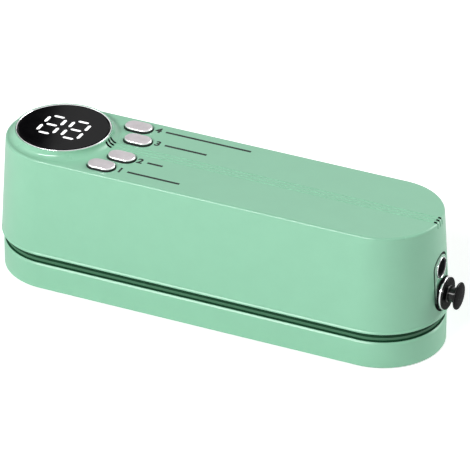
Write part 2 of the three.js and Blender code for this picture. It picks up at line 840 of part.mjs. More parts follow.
// What is cut out of the end: the plate's recess, the socket's well and the port's hole.
function endRecess() {
  const slot = uprightSlot(
    plateHalfWidth + plateGap / 2,
    [plateBottomZ - plateGap / 2, plateBottomZ + plateHeight + plateGap / 2],
    [endBossX + fit, arcX + rimHalfWidth + overrun],
  );
  const behind = housingBody(plateThickness + fit, rimZ - overrun, topZ, topEdgeRadius);
  const endX = arcX + rimHalfWidth + overrun;
  return slot
    .subtract(behind)
    .add(barX(socketRadius, [endBossX - overrun, endX], 0, socketZ))
    .add(barX(bushTubeRadius + snug, [endBossX - overrun, endX], 0, portZ));
}

// Inlaid plate that follows the end wall, with a bevelled socket hole and the port's hole.
function endPlate() {
  const slot = uprightSlot(
    plateHalfWidth - plateGap / 2,
    [plateBottomZ + plateGap / 2, plateBottomZ + plateHeight - plateGap / 2],
    [endBossX, arcX + rimHalfWidth],
  );
  const skin = housingBody(0, rimZ - overrun, topZ, topEdgeRadius).subtract(
    housingBody(plateThickness, rimZ - overrun * 2, topZ, topEdgeRadius),
  );
  const faceX = arcX + halfWidthAt(socketZ);
  const bevel = turnedX(
    [
      [0, endBossX],
      [socketRadius, endBossX],
      [socketRadius, faceX - socketChamfer],
      [socketRadius + socketChamfer * 2, faceX + socketChamfer],
      [0, faceX + socketChamfer],
    ],
    0,
    socketZ,
  );
  const portHole = barX(bushTubeRadius + fit, [endBossX, faceX + overrun], 0, portZ);
  return slot.intersect(skin).subtract(bevel).subtract(portHole);
}

// Charging jack behind the well: a block with a round bore and its centre pin.
function chargeJack() {
  const faceX = endBossX - fit;
  const body = block(
    [faceX - jackLength, faceX],
    [-jackHalfWidth, jackHalfWidth],
    [socketZ - jackHalfWidth, socketZ + jackHalfWidth],
  );
  const bore = barX(jackBoreRadius, [faceX - jackBoreDepth, faceX + overrun], 0, socketZ, smallSides);
  const pin = barX(jackPinRadius, [faceX - jackBoreDepth - fit, faceX - fit], 0, socketZ, smallSides);
  return body.subtract(bore).add(pin);
}

// Bright bush of the air port: flange, hub on the end plate and tube through the wall.
function portBush() {
  const hubX = portFaceX + fit + filmGap;
  const tube = turnedX(
    [
      [0, portFaceX - bushTubeLength],
      [bushTubeRadius, portFaceX - bushTubeLength],
      [bushTubeRadius, hubX],
      [bushHubRadius, hubX],
      [bushHubRadius, bushFlangeX],
      [bushFlangeRadius, bushFlangeX],
      [bushFlangeRadius, bushFlangeX + bushFlangeThickness],
      [0, bushFlangeX + bushFlangeThickness],
    ],
    0,
    portZ,
  );
  const boreX = [portFaceX - bushTubeLength + bushHubLength, plugFlangeX + overrun];
  const airX = [portFaceX - bushTubeLength - barbLength, boreX[1]];
  return tube
    .add(barX(barbRadius, [airX[0], boreX[0]], 0, portZ, smallSides))
    .subtract(barX(bushBoreRadius, boreX, 0, portZ, smallSides))
    .subtract(barX(outletRadius, [airX[0] - overrun, airX[1]], 0, portZ, smallSides));
}

// Rubber plug that stops the port: stem, flange, neck and a round knob to pull it by.
function portPlug() {
  const flangeEndX = plugFlangeX + plugFlangeThickness;
  const knobX = flangeEndX + plugNeckLength;
  const endX = knobX + plugKnobThickness;
  const stemRadius = bushBoreRadius - fit;
  const stemX = plugFlangeX - plugStemLength;
  return turnedX(
    [
      [0, stemX],
      [stemRadius - plugLead, stemX],
      [stemRadius, stemX + plugLead],
      [stemRadius, plugFlangeX],
      [plugFlangeRadius, plugFlangeX],
      [plugFlangeRadius, flangeEndX - plugEdge],
      [plugFlangeRadius - plugEdge, flangeEndX],
      [plugNeckRadius + plugLead, flangeEndX],
      [plugNeckRadius, flangeEndX + plugLead],
      [plugNeckRadius, knobX],
      [plugKnobRadius - plugEdge, knobX],
      [plugKnobRadius, knobX + plugEdge],
      [plugKnobRadius, endX - plugEdge],
      [plugKnobRadius - plugEdge, endX],
      [0, endX],
    ],
    0,
    portZ,
  );
}

// Bright ring round the display's glass.
function displayBezel() {
  const z = [ledgeTopZ + snug, lensTopZ + bezelProud];
  return barZ(bezelOuter, z, displayX, 0, displaySides).subtract(
    barZ(bezelInner, [z[0] - overrun, z[1] + overrun], displayX, 0, displaySides),
  );
}

// Dark window of the display, with a slot for every bar of the two digits.
function displayLens() {
  let lens = barZ(lensRadius, [lensBottomZ, lensTopZ], displayX, 0, displaySides);
  for (const x of digitPlaces())
    for (const place of segmentPlaces())
      lens = lens.subtract(segment(place, x, [lensBottomZ - overrun, lensTopZ + overrun], snug));
  return lens;
}

function digitPlaces() {
  return [displayX - digitPitch / 2, displayX + digitPitch / 2];
}

// Middles of the seven bars of a digit, and whether each one lies along X.
function segmentPlaces() {
  const rows = [-digitHalfHeight, 0, digitHalfHeight].map((y) => [0, y, true]);
  const columns = [-digitHalfWidth, digitHalfWidth].flatMap((x) =>
    [-digitHalfHeight / 2, digitHalfHeight / 2].map((y) => [x, y, false]),
  );
  return [...rows, ...columns];
}

// One bar with pointed ends, wider than the printed one by a margin.
function segment([x, y, alongX], digitX, [z0, z1], margin) {
  const halfLength = segmentLength / 2 + margin;
  const halfWidth = segmentWidth / 2 + margin;
  const shoulder = halfLength - halfWidth;
  const corners = [
    [-halfLength, 0],
    [-shoulder, -halfWidth],
    [shoulder, -halfWidth],
    [halfLength, 0],
    [shoulder, halfWidth],
    [-shoulder, halfWidth],
  ].map(([u, v]) => new THREE.Vector2(u, v));
  const geometry = new THREE.ExtrudeGeometry(new THREE.Shape(corners), {
    depth: z1 - z0,
    bevelEnabled: false,
  });
  if (!alongX) geometry.rotateZ(Math.PI / 2);
  geometry.translate(digitX + x, y, z0);
  return solidOf(geometry);
}

// One digit of the display: its housing under the window and seven light bars in it.
function digit(x) {
  const half = [digitHalfWidth + moduleMargin, digitHalfHeight + moduleMargin];
  const baseZ = lensBottomZ - fit;
  let module = block(
    [x - half[0], x + half[0]],
    [-half[1], half[1]],
    [displayBoardTopZ + filmGap, baseZ],
  );
  for (const place of segmentPlaces())
    module = module.add(segment(place, x, [baseZ - fit, lensTopZ - segmentSunk], 0));
  return module;
}

// Circuit board under the display and the buttons.
function displayBoard() {
  const z = [displayBoardTopZ - boardThickness, displayBoardTopZ];
  const round = barZ(displayBoardRadius, z, displayX, 0);
  const y = displayBoardHalfWidth;
  return round.add(block([displayX, displayBoardEndX], [-y, y], z));
}

// Four rows across the top, on an arc about the display.
function buttonPlaces() {
  return buttonRowShares.map((share) => {
    const y = buttonRowY * share;
    return [displayX + Math.sqrt(buttonArcRadius ** 2 - y ** 2), y];
  });
}

// Button cap: the bright pill, the flange that keeps it in, and a stem to the switch.
function buttonCap(x, y) {
  const radius = capWidth / 2;
  const stemBottomZ = plungerTopZ + filmGap;
  return longTurned(
    [
      [0, stemBottomZ],
      [capStemRadius, stemBottomZ],
      [capStemRadius, capFlangeBottomZ],
      [radius + capFlangeWidth, capFlangeBottomZ],
      [radius + capFlangeWidth, capFlangeTopZ],
      [radius, capFlangeTopZ],
      ...topRound(radius, topZ + capProud, capEdge),
      [0, topZ + capProud],
    ],
    capArcX,
    x,
    y,
    capSides,
  );
}

// Tact switch under a cap: a square body with a well for its plunger.
function tactSwitch(x, y) {
  const half = switchHalfWidth;
  const body = block([x - half, x + half], [y - half, y + half], [switchBottomZ, switchTopZ]);
  const wellZ = [switchTopZ - plungerDepth - buttonTravel - fit, switchTopZ + overrun];
  return body.subtract(barZ(plungerRadius + fit, wellZ, x, y, smallSides));
}

function tactPlunger(x, y) {
  return barZ(plungerRadius, [switchTopZ - plungerDepth, plungerTopZ], x, y, smallSides);
}

// One cylindrical cell with the small cap of its plus end.
function batteryCell(y) {
  return barX(cellRadius, [cellStartX, cellEndX], y, cellZ).add(
    barX(cellCapRadius, [cellEndX - fit, cellEndX + cellCapHeight], y, cellZ, smallSides),
  );
}

// Cradle for the two cells, with end walls that also carry the main board.
function batteryHolder() {
  const x = [holderStartX, holderEndX];
  const y = [-holderHalfWidth, holderHalfWidth];
  let holder = block(x, y, [insideZ, insideZ + holderFloor + holderSide]);
  for (const cellY of cellPlaces())
    holder = holder.subtract(barX(cellRadius + fit, x, cellY, cellZ));
  const wallZ = [insideZ, mainBoardZ - filmGap];
  return holder
    .add(block([x[0], x[0] + holderEndWall], y, wallZ))
    .add(block([x[1] - holderEndWall, x[1]], y, wallZ));
}

function cellPlaces() {
  return [-cellSpacing / 2, cellSpacing / 2];
}

// Main circuit board, with its larger components standing on it.
function mainBoard() {
  const topOfBoardZ = mainBoardZ + boardThickness;
  const middleX = (holderStartX + holderEndX) / 2;
  const halfLength = (holderEndX - holderStartX) / 2;
  let board = block(
    [holderStartX, holderEndX],
    [-mainBoardHalfWidth, mainBoardHalfWidth],
    [mainBoardZ, topOfBoardZ],
  );
  for (const [alongShare, acrossShare, lengthShare, widthShare, heightShare] of boardPartShares) {
    const x = middleX + alongShare * halfLength;
    const y = acrossShare * mainBoardHalfWidth;
    const halfX = (lengthShare * halfLength) / 2;
    const halfY = widthShare * boardPartHalfWidth;
    board = board.add(
      block(
        [x - halfX, x + halfX],
        [y - halfY, y + halfY],
        [topOfBoardZ - filmGap, topOfBoardZ + heightShare * boardPartHeight],
      ),
    );
  }
  return board;
}

// Pump motor: a round can with two flats and a bore in its front for the shaft.
function pumpMotor() {
  const flats = block(
    [motorStartX, motorEndX],
    [-motorRadius, motorRadius],
    [motorZ - motorFlatHalfHeight - cradleThickness, motorZ + motorFlatHalfHeight],
  );
  const boreX = [motorEndX - shaftInMotor - fit, motorEndX + overrun];
  return barX(motorRadius, [motorStartX, motorEndX], 0, motorZ)
    .intersect(flats)
    .subtract(barX(shaftRadius + fit, boreX, 0, motorZ, smallSides));
}

function motorCradle() {
  return block(
    [motorStartX + cradleInset, motorEndX - cradleInset],
    [-cradleHalfWidth, cradleHalfWidth],
    [insideZ, insideZ + cradleHeight],
  ).subtract(barX(motorRadius + fit, [motorStartX, motorEndX], 0, motorZ));
}

// Cylinder block of the pump: crank case open to the front, cylinder above, two air ways.
function cylinderBlock() {
  const endX = blockEndX;
  const caseX = [blockX + blockWallX, endX - blockWallX];
  const body = block([blockX, endX], [-blockHalfWidth, blockHalfWidth], [insideZ, blockTopZ]);
  const crankCase = block(
    caseX,
    [-blockHalfWidth - overrun, blockHalfWidth - blockSide],
    [crankCaseZ, cylinderBottomZ],
  );
  return body
    .subtract(crankCase)
    .subtract(barZ(pistonRadius + fit, [motorZ, cylinderTopZ], pistonX, 0))
    .subtract(barX(shaftRadius + fit, [blockX - overrun, caseX[0] + fit], 0, motorZ, smallSides))
    .subtract(barZ(outletRadius, [cylinderTopZ - fit, blockTopZ + overrun], pistonX, 0, smallSides))
    .add(barX(barbRadius, [endX - fit, endX + barbLength], 0, portZ, smallSides))
    .subtract(barX(outletRadius, [pistonX, endX + barbLength + overrun], 0, portZ, smallSides));
}

// Motor shaft with its eccentric, which drives the piston.
function pumpCrank() {
  const endX = crankX + crankThickness;
  const shaft = barX(shaftRadius, [motorEndX - shaftInMotor, endX], 0, motorZ, smallSides);
  const disc = barX(crankRadius, [crankX, endX], 0, motorZ + crankOffset);
  return shaft.add(disc);
}

// Piston with its rod and the wide eye that goes round the eccentric.
function pumpPiston() {
  const eyeX = [crankX, crankX + crankThickness];
  const eye = barX(ringOuter, eyeX, 0, motorZ).subtract(
    barX(ringInner, [eyeX[0] - overrun, eyeX[1] + overrun], 0, motorZ),
  );
  const rodZ = [motorZ + ringOuter - ringWall / 2, pistonBottomZ + fit];
  return eye
    .add(barZ(rodRadius, rodZ, pistonX, 0, smallSides))
    .add(barZ(pistonRadius, [pistonBottomZ, pistonBottomZ + pistonThickness], pistonX, 0));
}

// Release valve: coil block with a bore from above, and a barb towards the elbow.
function valveBody() {
  const endZ = insideZ + valveHeight;
  const startX = valveX - valveHalfLength;
  const boreZ = [endZ - valveBoreDepth, endZ + overrun];
  return block(
    [startX, valveX + valveHalfLength],
    [valveY - valveHalfWidth, valveY + valveHalfWidth],
    [insideZ, endZ],
  )
    .subtract(barZ(valvePlungerRadius + fit, boreZ, valveX, valveY, smallSides))
    .add(barX(barbRadius, [startX - barbLength, startX + fit], hoseY, hoseZ, smallSides));
}

function valvePlunger() {
  const topOfBodyZ = insideZ + valveHeight;
  const z = [topOfBodyZ - valveBoreDepth + valveTravel + fit, topOfBodyZ + valvePlungerProud];
  return barZ(valvePlungerRadius, z, valveX, valveY, smallSides);
}

// Elbow over the hole above the trough, with a barb to the back.
function chamberElbow() {
  const z = [insideZ, insideZ + elbowHeight];
  const boreZ = [insideZ - overrun, insideZ + elbowHeight / 2];
  const half = elbowHalfWidth;
  const body = block([elbowX - half, elbowX + half], [elbowY - half, elbowY + half], z);
  const barb = new THREE.CylinderGeometry(barbRadius, barbRadius, barbLength + fit, smallSides);
  barb.translate(elbowX, elbowY + half + (barbLength - fit) / 2, hoseZ);
  return body
    .add(solidOf(barb))
    .subtract(barZ(portHoleRadius, boreZ, elbowX, elbowY, smallSides));
}

// Hose from the elbow, round and along to the release valve.
function chamberHose() {
  const startY = elbowY + elbowHalfWidth + fit;
  const endX = valveX - valveHalfLength - fit;
  const bend = hoseOuter;
  const path = new THREE.CurvePath();
  const at = (x, y) => new THREE.Vector3(x, y, hoseZ);
  path.add(new THREE.LineCurve3(at(elbowX, startY), at(elbowX, hoseY - bend)));
  const [bendStart, corner] = [at(elbowX, hoseY - bend), at(elbowX, hoseY)];
  const bendEnd = at(elbowX + bend, hoseY);
  path.add(new THREE.QuadraticBezierCurve3(bendStart, corner, bendEnd));
  path.add(new THREE.LineCurve3(bendEnd, at(endX, hoseY)));
  const places = path.getSpacedPoints(hoseSteps).map((point) => point.toArray());
  return hose(places, hoseOuter, hoseInner);
}

// Straight hose from the pump to the bush of the air port.
function portHose() {
  const startX = blockEndX + fit;
  const endX = portFaceX - bushTubeLength - fit;
  return barX(hoseOuter, [startX, endX], 0, portZ, smallSides).subtract(
    barX(hoseInner, [startX - overrun, endX + overrun], 0, portZ, smallSides),
  );
}

const mintPlastic = finish(0x9ed9ba, 0.42);
const darkRubber = finish(0x17191a, 0.6);
const greyRubber = finish(0x33363a, 0.7);
const siliconeRed = finish(0xa8483a, 0.55);
const brightMetal = finish(0xd4d2d4, 0.25, 1);
const steel = finish(0xb7babd, 0.35, 1);
const blackGlass = finish(0x08090b, 0.08);
const litWhite = finish(0xffffff, 0.4);
const boardGreen = finish(0x1e5a3a, 0.5);
const blackPlastic = finish(0x1b1c1e, 0.5);
const heaterTan = finish(0xb08a5a, 0.6);
const coverTan = finish(0xa98a5c, 0.4);
const cellBlue = finish(0x2a5d9a, 0.35);
const copper = finish(0xb5703a, 0.4, 1);
const clearHose = finish(0xd9dedb, 0.3);

const sealer = new THREE.Group();
const base = new THREE.Group();
const housing = new THREE.Group();
sealer.add(base, housing);

addPiece(base, "base_shell", baseShell(), mintPlastic);
addPiece(base, "grip_pad", gripPad(), greyRubber);
addPiece(base, "vacuum_tray", vacuumTray(), mintPlastic);
addPiece(base, "lower_gasket", gasketRing([deckZ - gasketSeatDepth + snug, closureZ], 0), darkRubber);
addPiece(base, "press_strip", pressStrip(), siliconeRed);
[-1, 1].forEach((side, i) => {
  const name = ["left", "right"][i];
  addPiece(base, "hinge_pin_" + name, hingePin(side * hingeStationX), steel);
  const trayScrew = screw(padTopZ + fit, trayScrewReach, side * trayScrewX, 0);
  addPiece(base, "tray_screw_" + name, trayScrew, steel);
  const magnetZ = [deckZ - magnetThickness, deckZ];
  const magnet = barZ(magnetRadius, magnetZ, side * magnetX, magnetY, smallSides);
  addPiece(base, "base_magnet_" + name, magnet, steel);
  const strikeZ = [seatTopZ - filmGap - strikeThickness, seatTopZ - filmGap];
  const strike = barZ(magnetRadius, strikeZ, side * magnetX, magnetY, smallSides);
  addPiece(housing, "strike_plate_" + name, strike, steel);
});

addPiece(housing, "housing_shell", housingShell(), mintPlastic);
addPiece(housing, "jaw_plate", jawPlate(), mintPlastic);
addPiece(housing, "upper_gasket", gasketRing([closureZ + fit, seatTopZ - filmGap], 0), darkRubber);
const sealX = [-sealHalfLength, sealHalfLength];
const stackZ = [closureZ + fit];
for (const thickness of [coverThickness, heatingStripThickness, heaterBarThickness])
  stackZ.push(stackZ[stackZ.length - 1] + thickness + filmGap);
const stack = [
  ["ptfe_cover", coverWidth, coverThickness, coverTan],
  ["heating_strip", heatingStripWidth, heatingStripThickness, steel],
  ["heater_bar", heaterBarWidth, heaterBarThickness, heaterTan],
];
stack.forEach(([name, width, thickness, look], i) => {
  const y = [sealY - width / 2, sealY + width / 2];
  addPiece(housing, name, block(sealX, y, [stackZ[i], stackZ[i] + thickness]), look);
});
bossPlaces().forEach(([x, y], i) => {
  const jawScrew = screw(jawBottomZ + filmGap, bossScrewReach, x, y);
  addPiece(housing, "jaw_screw_" + (i + 1), jawScrew, steel);
});

addPiece(housing, "end_plate", endPlate(), mintPlastic);
addPiece(housing, "charge_jack", chargeJack(), blackPlastic);
addPiece(housing, "port_bush", portBush(), brightMetal);
addPiece(housing, "port_plug", portPlug(), darkRubber);

addPiece(housing, "display_bezel", displayBezel(), brightMetal);
addPiece(housing, "display_lens", displayLens(), blackGlass);
digitPlaces().forEach((x, i) => addPiece(housing, ["digit_tens", "digit_units"][i], digit(x), litWhite));
addPiece(housing, "display_board", displayBoard(), boardGreen);
buttonPlaces().forEach(([x, y], i) => {
  addPiece(housing, "button_cap_" + (i + 1), buttonCap(x, y), brightMetal);
  addPiece(housing, "tact_switch_" + (i + 1), tactSwitch(x, y), blackPlastic);
  addPiece(housing, "tact_plunger_" + (i + 1), tactPlunger(x, y), blackPlastic);
});

cellPlaces().forEach((y, i) => addPiece(housing, "battery_cell_" + (i + 1), batteryCell(y), cellBlue));
addPiece(housing, "battery_holder", batteryHolder(), blackPlastic);
addPiece(housing, "main_board", mainBoard(), boardGreen);

addPiece(housing, "pump_motor", pumpMotor(), steel);
addPiece(housing, "motor_cradle", motorCradle(), blackPlastic);
addPiece(housing, "cylinder_block", cylinderBlock(), blackPlastic);
addPiece(housing, "pump_crank", pumpCrank(), steel);
addPiece(housing, "pump_piston", pumpPiston(), greyRubber);
addPiece(housing, "valve_body", valveBody(), copper);
addPiece(housing, "valve_plunger", valvePlunger(), steel);
addPiece(housing, "chamber_elbow", chamberElbow(), blackPlastic);
addPiece(housing, "chamber_hose", chamberHose(), clearHose);
addPiece(housing, "port_hose", portHose(), clearHose);

export default sealer;
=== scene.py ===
# %% [markdown]
# # A handheld bag sealer, dressed for the camera
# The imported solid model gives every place, size and joint. This lesson models the visible
# pieces again with finer edges, gives each one a finish, and lights them as in a small studio.

# %% Load the solid model
import math

import bmesh
import bpy
from mathutils import Matrix, Vector


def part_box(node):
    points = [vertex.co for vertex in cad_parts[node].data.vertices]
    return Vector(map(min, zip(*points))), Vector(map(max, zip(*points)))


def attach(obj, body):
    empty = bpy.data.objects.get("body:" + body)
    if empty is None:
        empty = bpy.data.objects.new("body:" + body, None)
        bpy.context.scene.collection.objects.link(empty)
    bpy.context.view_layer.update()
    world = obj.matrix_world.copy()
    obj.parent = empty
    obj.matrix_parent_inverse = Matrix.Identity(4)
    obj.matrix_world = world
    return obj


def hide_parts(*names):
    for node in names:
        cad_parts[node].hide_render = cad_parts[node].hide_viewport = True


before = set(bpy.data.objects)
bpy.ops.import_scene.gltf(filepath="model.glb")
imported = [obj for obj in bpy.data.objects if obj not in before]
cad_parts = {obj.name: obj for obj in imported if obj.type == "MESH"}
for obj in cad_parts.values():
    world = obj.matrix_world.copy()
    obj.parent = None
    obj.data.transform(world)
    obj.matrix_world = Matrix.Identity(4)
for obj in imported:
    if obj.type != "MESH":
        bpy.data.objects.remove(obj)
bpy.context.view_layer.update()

# %% [markdown]
# ## Sizes
# Places come from the boxes of the solids that the pieces replace. MM turns millimetres into
# metres, which is what Blender works in.

# %% Places read from the solids
MM = 0.001
SIDES = ("left", "right")


def corners(node):
    """A solid's lowest and highest corner in millimetres, to a micrometre."""
    return [[round(v / MM, 3) for v in corner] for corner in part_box(node)]


def middle_of(node):
    """The middle of a solid's box in millimetres, to a micrometre."""
    return [round((low + high) / 2, 3) for low, high in zip(*corners(node))]


BUTTONS = [middle_of(f"button_cap_{i}")[:2] for i in (1, 2, 3, 4)]
JAW_SCREWS = [middle_of(f"jaw_screw_{i}")[:2] for i in (1, 2, 3, 4)]
TRAY_SCREWS = [middle_of(f"tray_screw_{side}")[:2] for side in SIDES]
MAGNETS = [middle_of(f"base_magnet_{side}")[:2] for side in SIDES]
HINGES = [middle_of(f"hinge_pin_{side}")[0] for side in SIDES]
HINGE_Y, HINGE_Z = middle_of("hinge_pin_left")[1:]
DISPLAY_X = middle_of("display_lens")[0]
SOCKET_Z, PORT_Z = middle_of("charge_jack")[2], middle_of("port_bush")[2]
TROUGH_Y, SEAL_Y = middle_of("lower_gasket")[1], middle_of("press_strip")[1]
PORT_X, PLUG_X = corners("port_bush")[0][0], corners("port_plug")[0][0]
RIM_HALF, RIM_Z = corners("housing_shell")[1][1], corners("housing_shell")[0][2]
LENS_TOP_Z, NECK_TOP_Z = corners("display_lens")[1][2], corners("vacuum_tray")[1][2]
print("buttons at", BUTTONS)
print("hinge line at y", HINGE_Y, "z", HINGE_Z)

# %% [markdown]
# The other sizes repeat the solid model's own. The housing's wall leans in from rim to top, as
# a moulded shell does so that it slides out of its mould, and one function gives its half
# width at any height.

# %% Sizes that several pieces share
ARC_X = 72.5
TOP_Z, INNER_TOP_Z, LEDGE_Z = 60.7, 58.7, 61.75
LEAN = 2.5
TOP_EDGE = 1.1
PLATE_HALF, PLATE_Z, RECESS_GAP = 5.5, (20.5, 44.7), 1.1
DECK_Z, JAW_Z = 14.0, (16.9, 19.3)
TROUGH_X, SEAL_X = 50, 65
BUTTON_REACH = 2.3
GASKET_GROOVE = (13.55, 10.25)
SHELL_SIDES = 128


def half_width_at(z):
    """Half width of the housing's leaning wall at a height."""
    return RIM_HALF - LEAN * (z - RIM_Z) / (TOP_Z - RIM_Z)


print("half width at the top", half_width_at(TOP_Z))

# %% [markdown]
# ## Tools for modelling
# Blender's operators act on whatever is selected, so each helper first deselects everything.
# A finished piece keeps its object at the origin, and `settle` moves its place into its mesh.

# %% Choosing and settling
def activate(piece):
    """Select this piece alone."""
    bpy.ops.object.select_all(action="DESELECT")
    piece.select_set(True)
    bpy.context.view_layer.objects.active = piece


def settle(piece, name):
    """Put the piece's place, turn and size into its mesh, and name it."""
    activate(piece)
    bpy.ops.object.transform_apply(location=True, rotation=True, scale=True)
    piece.name = piece.data.name = name
    return piece


def select(piece, kind, test):
    """In edit mode, select only the corners, edges or faces that pass the test."""
    bpy.ops.mesh.select_mode(type=kind)
    bpy.ops.mesh.select_all(action="DESELECT")
    shape = bmesh.from_edit_mesh(piece.data)
    shape.normal_update()
    parts = {"VERT": shape.verts, "EDGE": shape.edges, "FACE": shape.faces}[kind]
    for part in parts:
        if test(part):
            part.select_set(True)
    shape.select_flush_mode()
    bmesh.update_edit_mesh(piece.data)


# %% [markdown]
# Most of this appliance is round or a stretched circle. A lathe shape is drawn out of a flat
# disc: the disc is extruded from height to height, and resized to the radius at each one. If
# its two halves are then pulled apart, it becomes a long slab with round ends, which is the
# outline of the base, the tray, the housing and the buttons alike. The disc is turned by half
# a step, so that no corner lies on the line where it parts.

# %% Drawing a disc out into a turned shape, and parting it
def turned(name, steps, sides=96, middle=(0, 0)):
    """A round piece about an upright line, from (radius, height) steps."""
    radius, height = steps[0]
    x, y = middle[0] * MM, middle[1] * MM
    bpy.ops.mesh.primitive_circle_add(
        vertices=sides, radius=radius * MM, fill_type="NGON",
        location=(x, y, height * MM), rotation=(0, 0, math.pi / sides))
    piece = settle(bpy.context.object, name)
    bpy.ops.object.mode_set(mode="EDIT")
    bpy.ops.mesh.select_mode(type="FACE")
    bpy.ops.mesh.select_all(action="SELECT")
    for next_radius, next_height in steps[1:]:
        rise = (next_height - height) * MM
        grow = next_radius / radius
        bpy.ops.mesh.extrude_region_move(TRANSFORM_OT_translate={"value": (0, 0, rise)})
        bpy.ops.transform.resize(
            value=(grow, grow, 1), center_override=(x, y, next_height * MM))
        radius, height = next_radius, next_height
    bpy.ops.mesh.select_all(action="SELECT")
    bpy.ops.mesh.normals_make_consistent(inside=False)
    bpy.ops.object.mode_set(mode="OBJECT")
    return piece


def pull_apart(piece, reach, middle=0):
    """Move the two halves of a round piece apart along X."""
    activate(piece)
    bpy.ops.object.mode_set(mode="EDIT")
    for side in (-1, 1):
        select(piece, "VERT", lambda corner: (corner.co.x - middle * MM) * side > 0)
        bpy.ops.transform.translate(value=(side * reach * MM, 0, 0))
    bpy.ops.object.mode_set(mode="OBJECT")
    return piece


def slab(name, half_width, z, reach=0, middle=(0, 0), sides=96):
    """A straight-sided slab with round ends between two heights."""
    piece = turned(name, [(half_width, z[0]), (half_width, z[1])], sides, middle)
    return pull_apart(piece, reach, middle[0]) if reach else piece


def round_foot(radius, z, edge, steps=4):
    """Steps round the lower edge of a turned shape."""
    angles = [math.pi / 2 * i / steps for i in range(steps + 1)]
    return [(radius - edge + edge * math.sin(a), z + edge - edge * math.cos(a)) for a in angles]


def round_head(radius, z, edge, steps=4):
    """Steps round the upper edge of a turned shape."""
    angles = [math.pi / 2 * i / steps for i in range(steps + 1)]
    return [(radius - edge + edge * math.cos(a), z - edge + edge * math.sin(a)) for a in angles]


def lay_along_x(piece, place):
    """Lay an upright piece down along X, its foot at this place."""
    piece.rotation_euler = (0, math.pi / 2, 0)
    piece.location = Vector(place) * MM
    return settle(piece, piece.name)


# %% [markdown]
# Holes, channels and bosses are made as in a mould: one shape is taken from another, or grown
# onto it, with a Boolean modifier that is applied at once. Small blocks start as cubes and
# get their edges rounded.

# %% Cutting, growing, blocks and edges
def combine(piece, tool, way="DIFFERENCE"):
    """Cut a tool's shape out of a piece, or grow it on, or keep what both share."""
    activate(piece)
    change = piece.modifiers.new("shape", "BOOLEAN")
    change.operation = way
    change.solver = "EXACT"
    change.object = tool
    bpy.ops.object.modifier_apply(modifier=change.name)
    bpy.data.objects.remove(tool)
    return piece


def joined(name, pieces):
    """Several meshes as one object."""
    activate(pieces[0])
    for piece in pieces[1:]:
        piece.select_set(True)
    bpy.ops.object.join()
    return settle(bpy.context.object, name)


def soften(piece, size, test, segments=3):
    """Round the edges that pass the test."""
    activate(piece)
    bpy.ops.object.mode_set(mode="EDIT")
    select(piece, "EDGE", test)
    bpy.ops.mesh.bevel(offset=size * MM, segments=segments, affect="EDGES", clamp_overlap=True)
    bpy.ops.object.mode_set(mode="OBJECT")
    return piece


def block(name, low, high, edge=0):
    """A block between two corners, its edges rounded."""
    low, high = Vector(low) * MM, Vector(high) * MM
    bpy.ops.mesh.primitive_cube_add(size=1, location=(low + high) / 2)
    bpy.context.object.scale = high - low
    piece = settle(bpy.context.object, name)
    return soften(piece, edge, lambda part: True) if edge else piece


def bar_x(name, radius, x, y, z, edge=0, sides=32):
    """A round bar along X, its ends rounded."""
    length = x[1] - x[0]
    if edge:
        steps = [*round_foot(radius, 0, edge, 2), *round_head(radius, length, edge, 2)]
    else:
        steps = [(radius, 0), (radius, length)]
    return lay_along_x(turned(name, steps, sides), (x[0], y, z))


# %% [markdown]
# ## Colours and nodes
# A colour is written as the hex value that a screen shows and turned into the linear value
# that a shader wants. A finish starts from one Principled shader, with the plain numbers set
# on its own sockets. `add` puts in one more node with its settings and links.

# %% Colour, node and finish helpers
def linear(code):
    """A screen's hex colour as linear RGBA."""
    parts = [int(code[i:i + 2], 16) / 255 for i in (1, 3, 5)]
    return (*[p / 12.92 if p <= 0.04045 else ((p + 0.055) / 1.055) ** 2.4 for p in parts], 1)


def add(material, kind, sockets, **settings):
    """One node: settings are its options, sockets its inputs, a value or an output each."""
    made = material.node_tree.nodes.new(kind)
    for name, value in settings.items():
        setattr(made, name, value)
    for name, value in sockets.items():
        if isinstance(value, bpy.types.NodeSocket):
            material.node_tree.links.new(value, made.inputs[name])
        else:
            made.inputs[name].default_value = value
    return made


def finish(name, colour, roughness, metallic=0, **sockets):
    """A material whose shader has these plain values."""
    material = bpy.data.materials.new(name)
    material.use_nodes = True
    shader = material.node_tree.nodes["Principled BSDF"]
    shader.inputs["Base Color"].default_value = linear(colour)
    shader.inputs["Roughness"].default_value = roughness
    shader.inputs["Metallic"].default_value = metallic
    for socket, value in sockets.items():
        shader.inputs[socket.replace("_", " ")].default_value = value
    print(f"finish {name}: {colour}, roughness {roughness}")
    return material


def drive(material, socket, output):
    """Let a pattern's output set one of the shader's sockets."""
    shader = material.node_tree.nodes["Principled BSDF"]
    material.node_tree.links.new(output, shader.inputs[socket])


# %% [markdown]
# Two patterns serve most moulded pieces. `grain` raises a fine noise, like the texture that
# spark erosion leaves in a steel mould and the mould leaves in the plastic. `mottle` lets the
# colour and the roughness wander a little, because no real surface is quite even.

# %% Grain and mottle
def grain(material, size, depth):
    """Raised noise of a size and a depth in millimetres."""
    place = add(material, "ShaderNodeTexCoord", {}).outputs["Object"]
    noise = add(material, "ShaderNodeTexNoise", {
        "Vector": place, "Scale": 1 / (size * MM), "Detail": 3.0, "Roughness": 0.55})
    bump = add(material, "ShaderNodeBump", {
        "Height": noise.outputs["Fac"], "Distance": depth * MM, "Strength": 1.0})
    drive(material, "Normal", bump.outputs["Normal"])


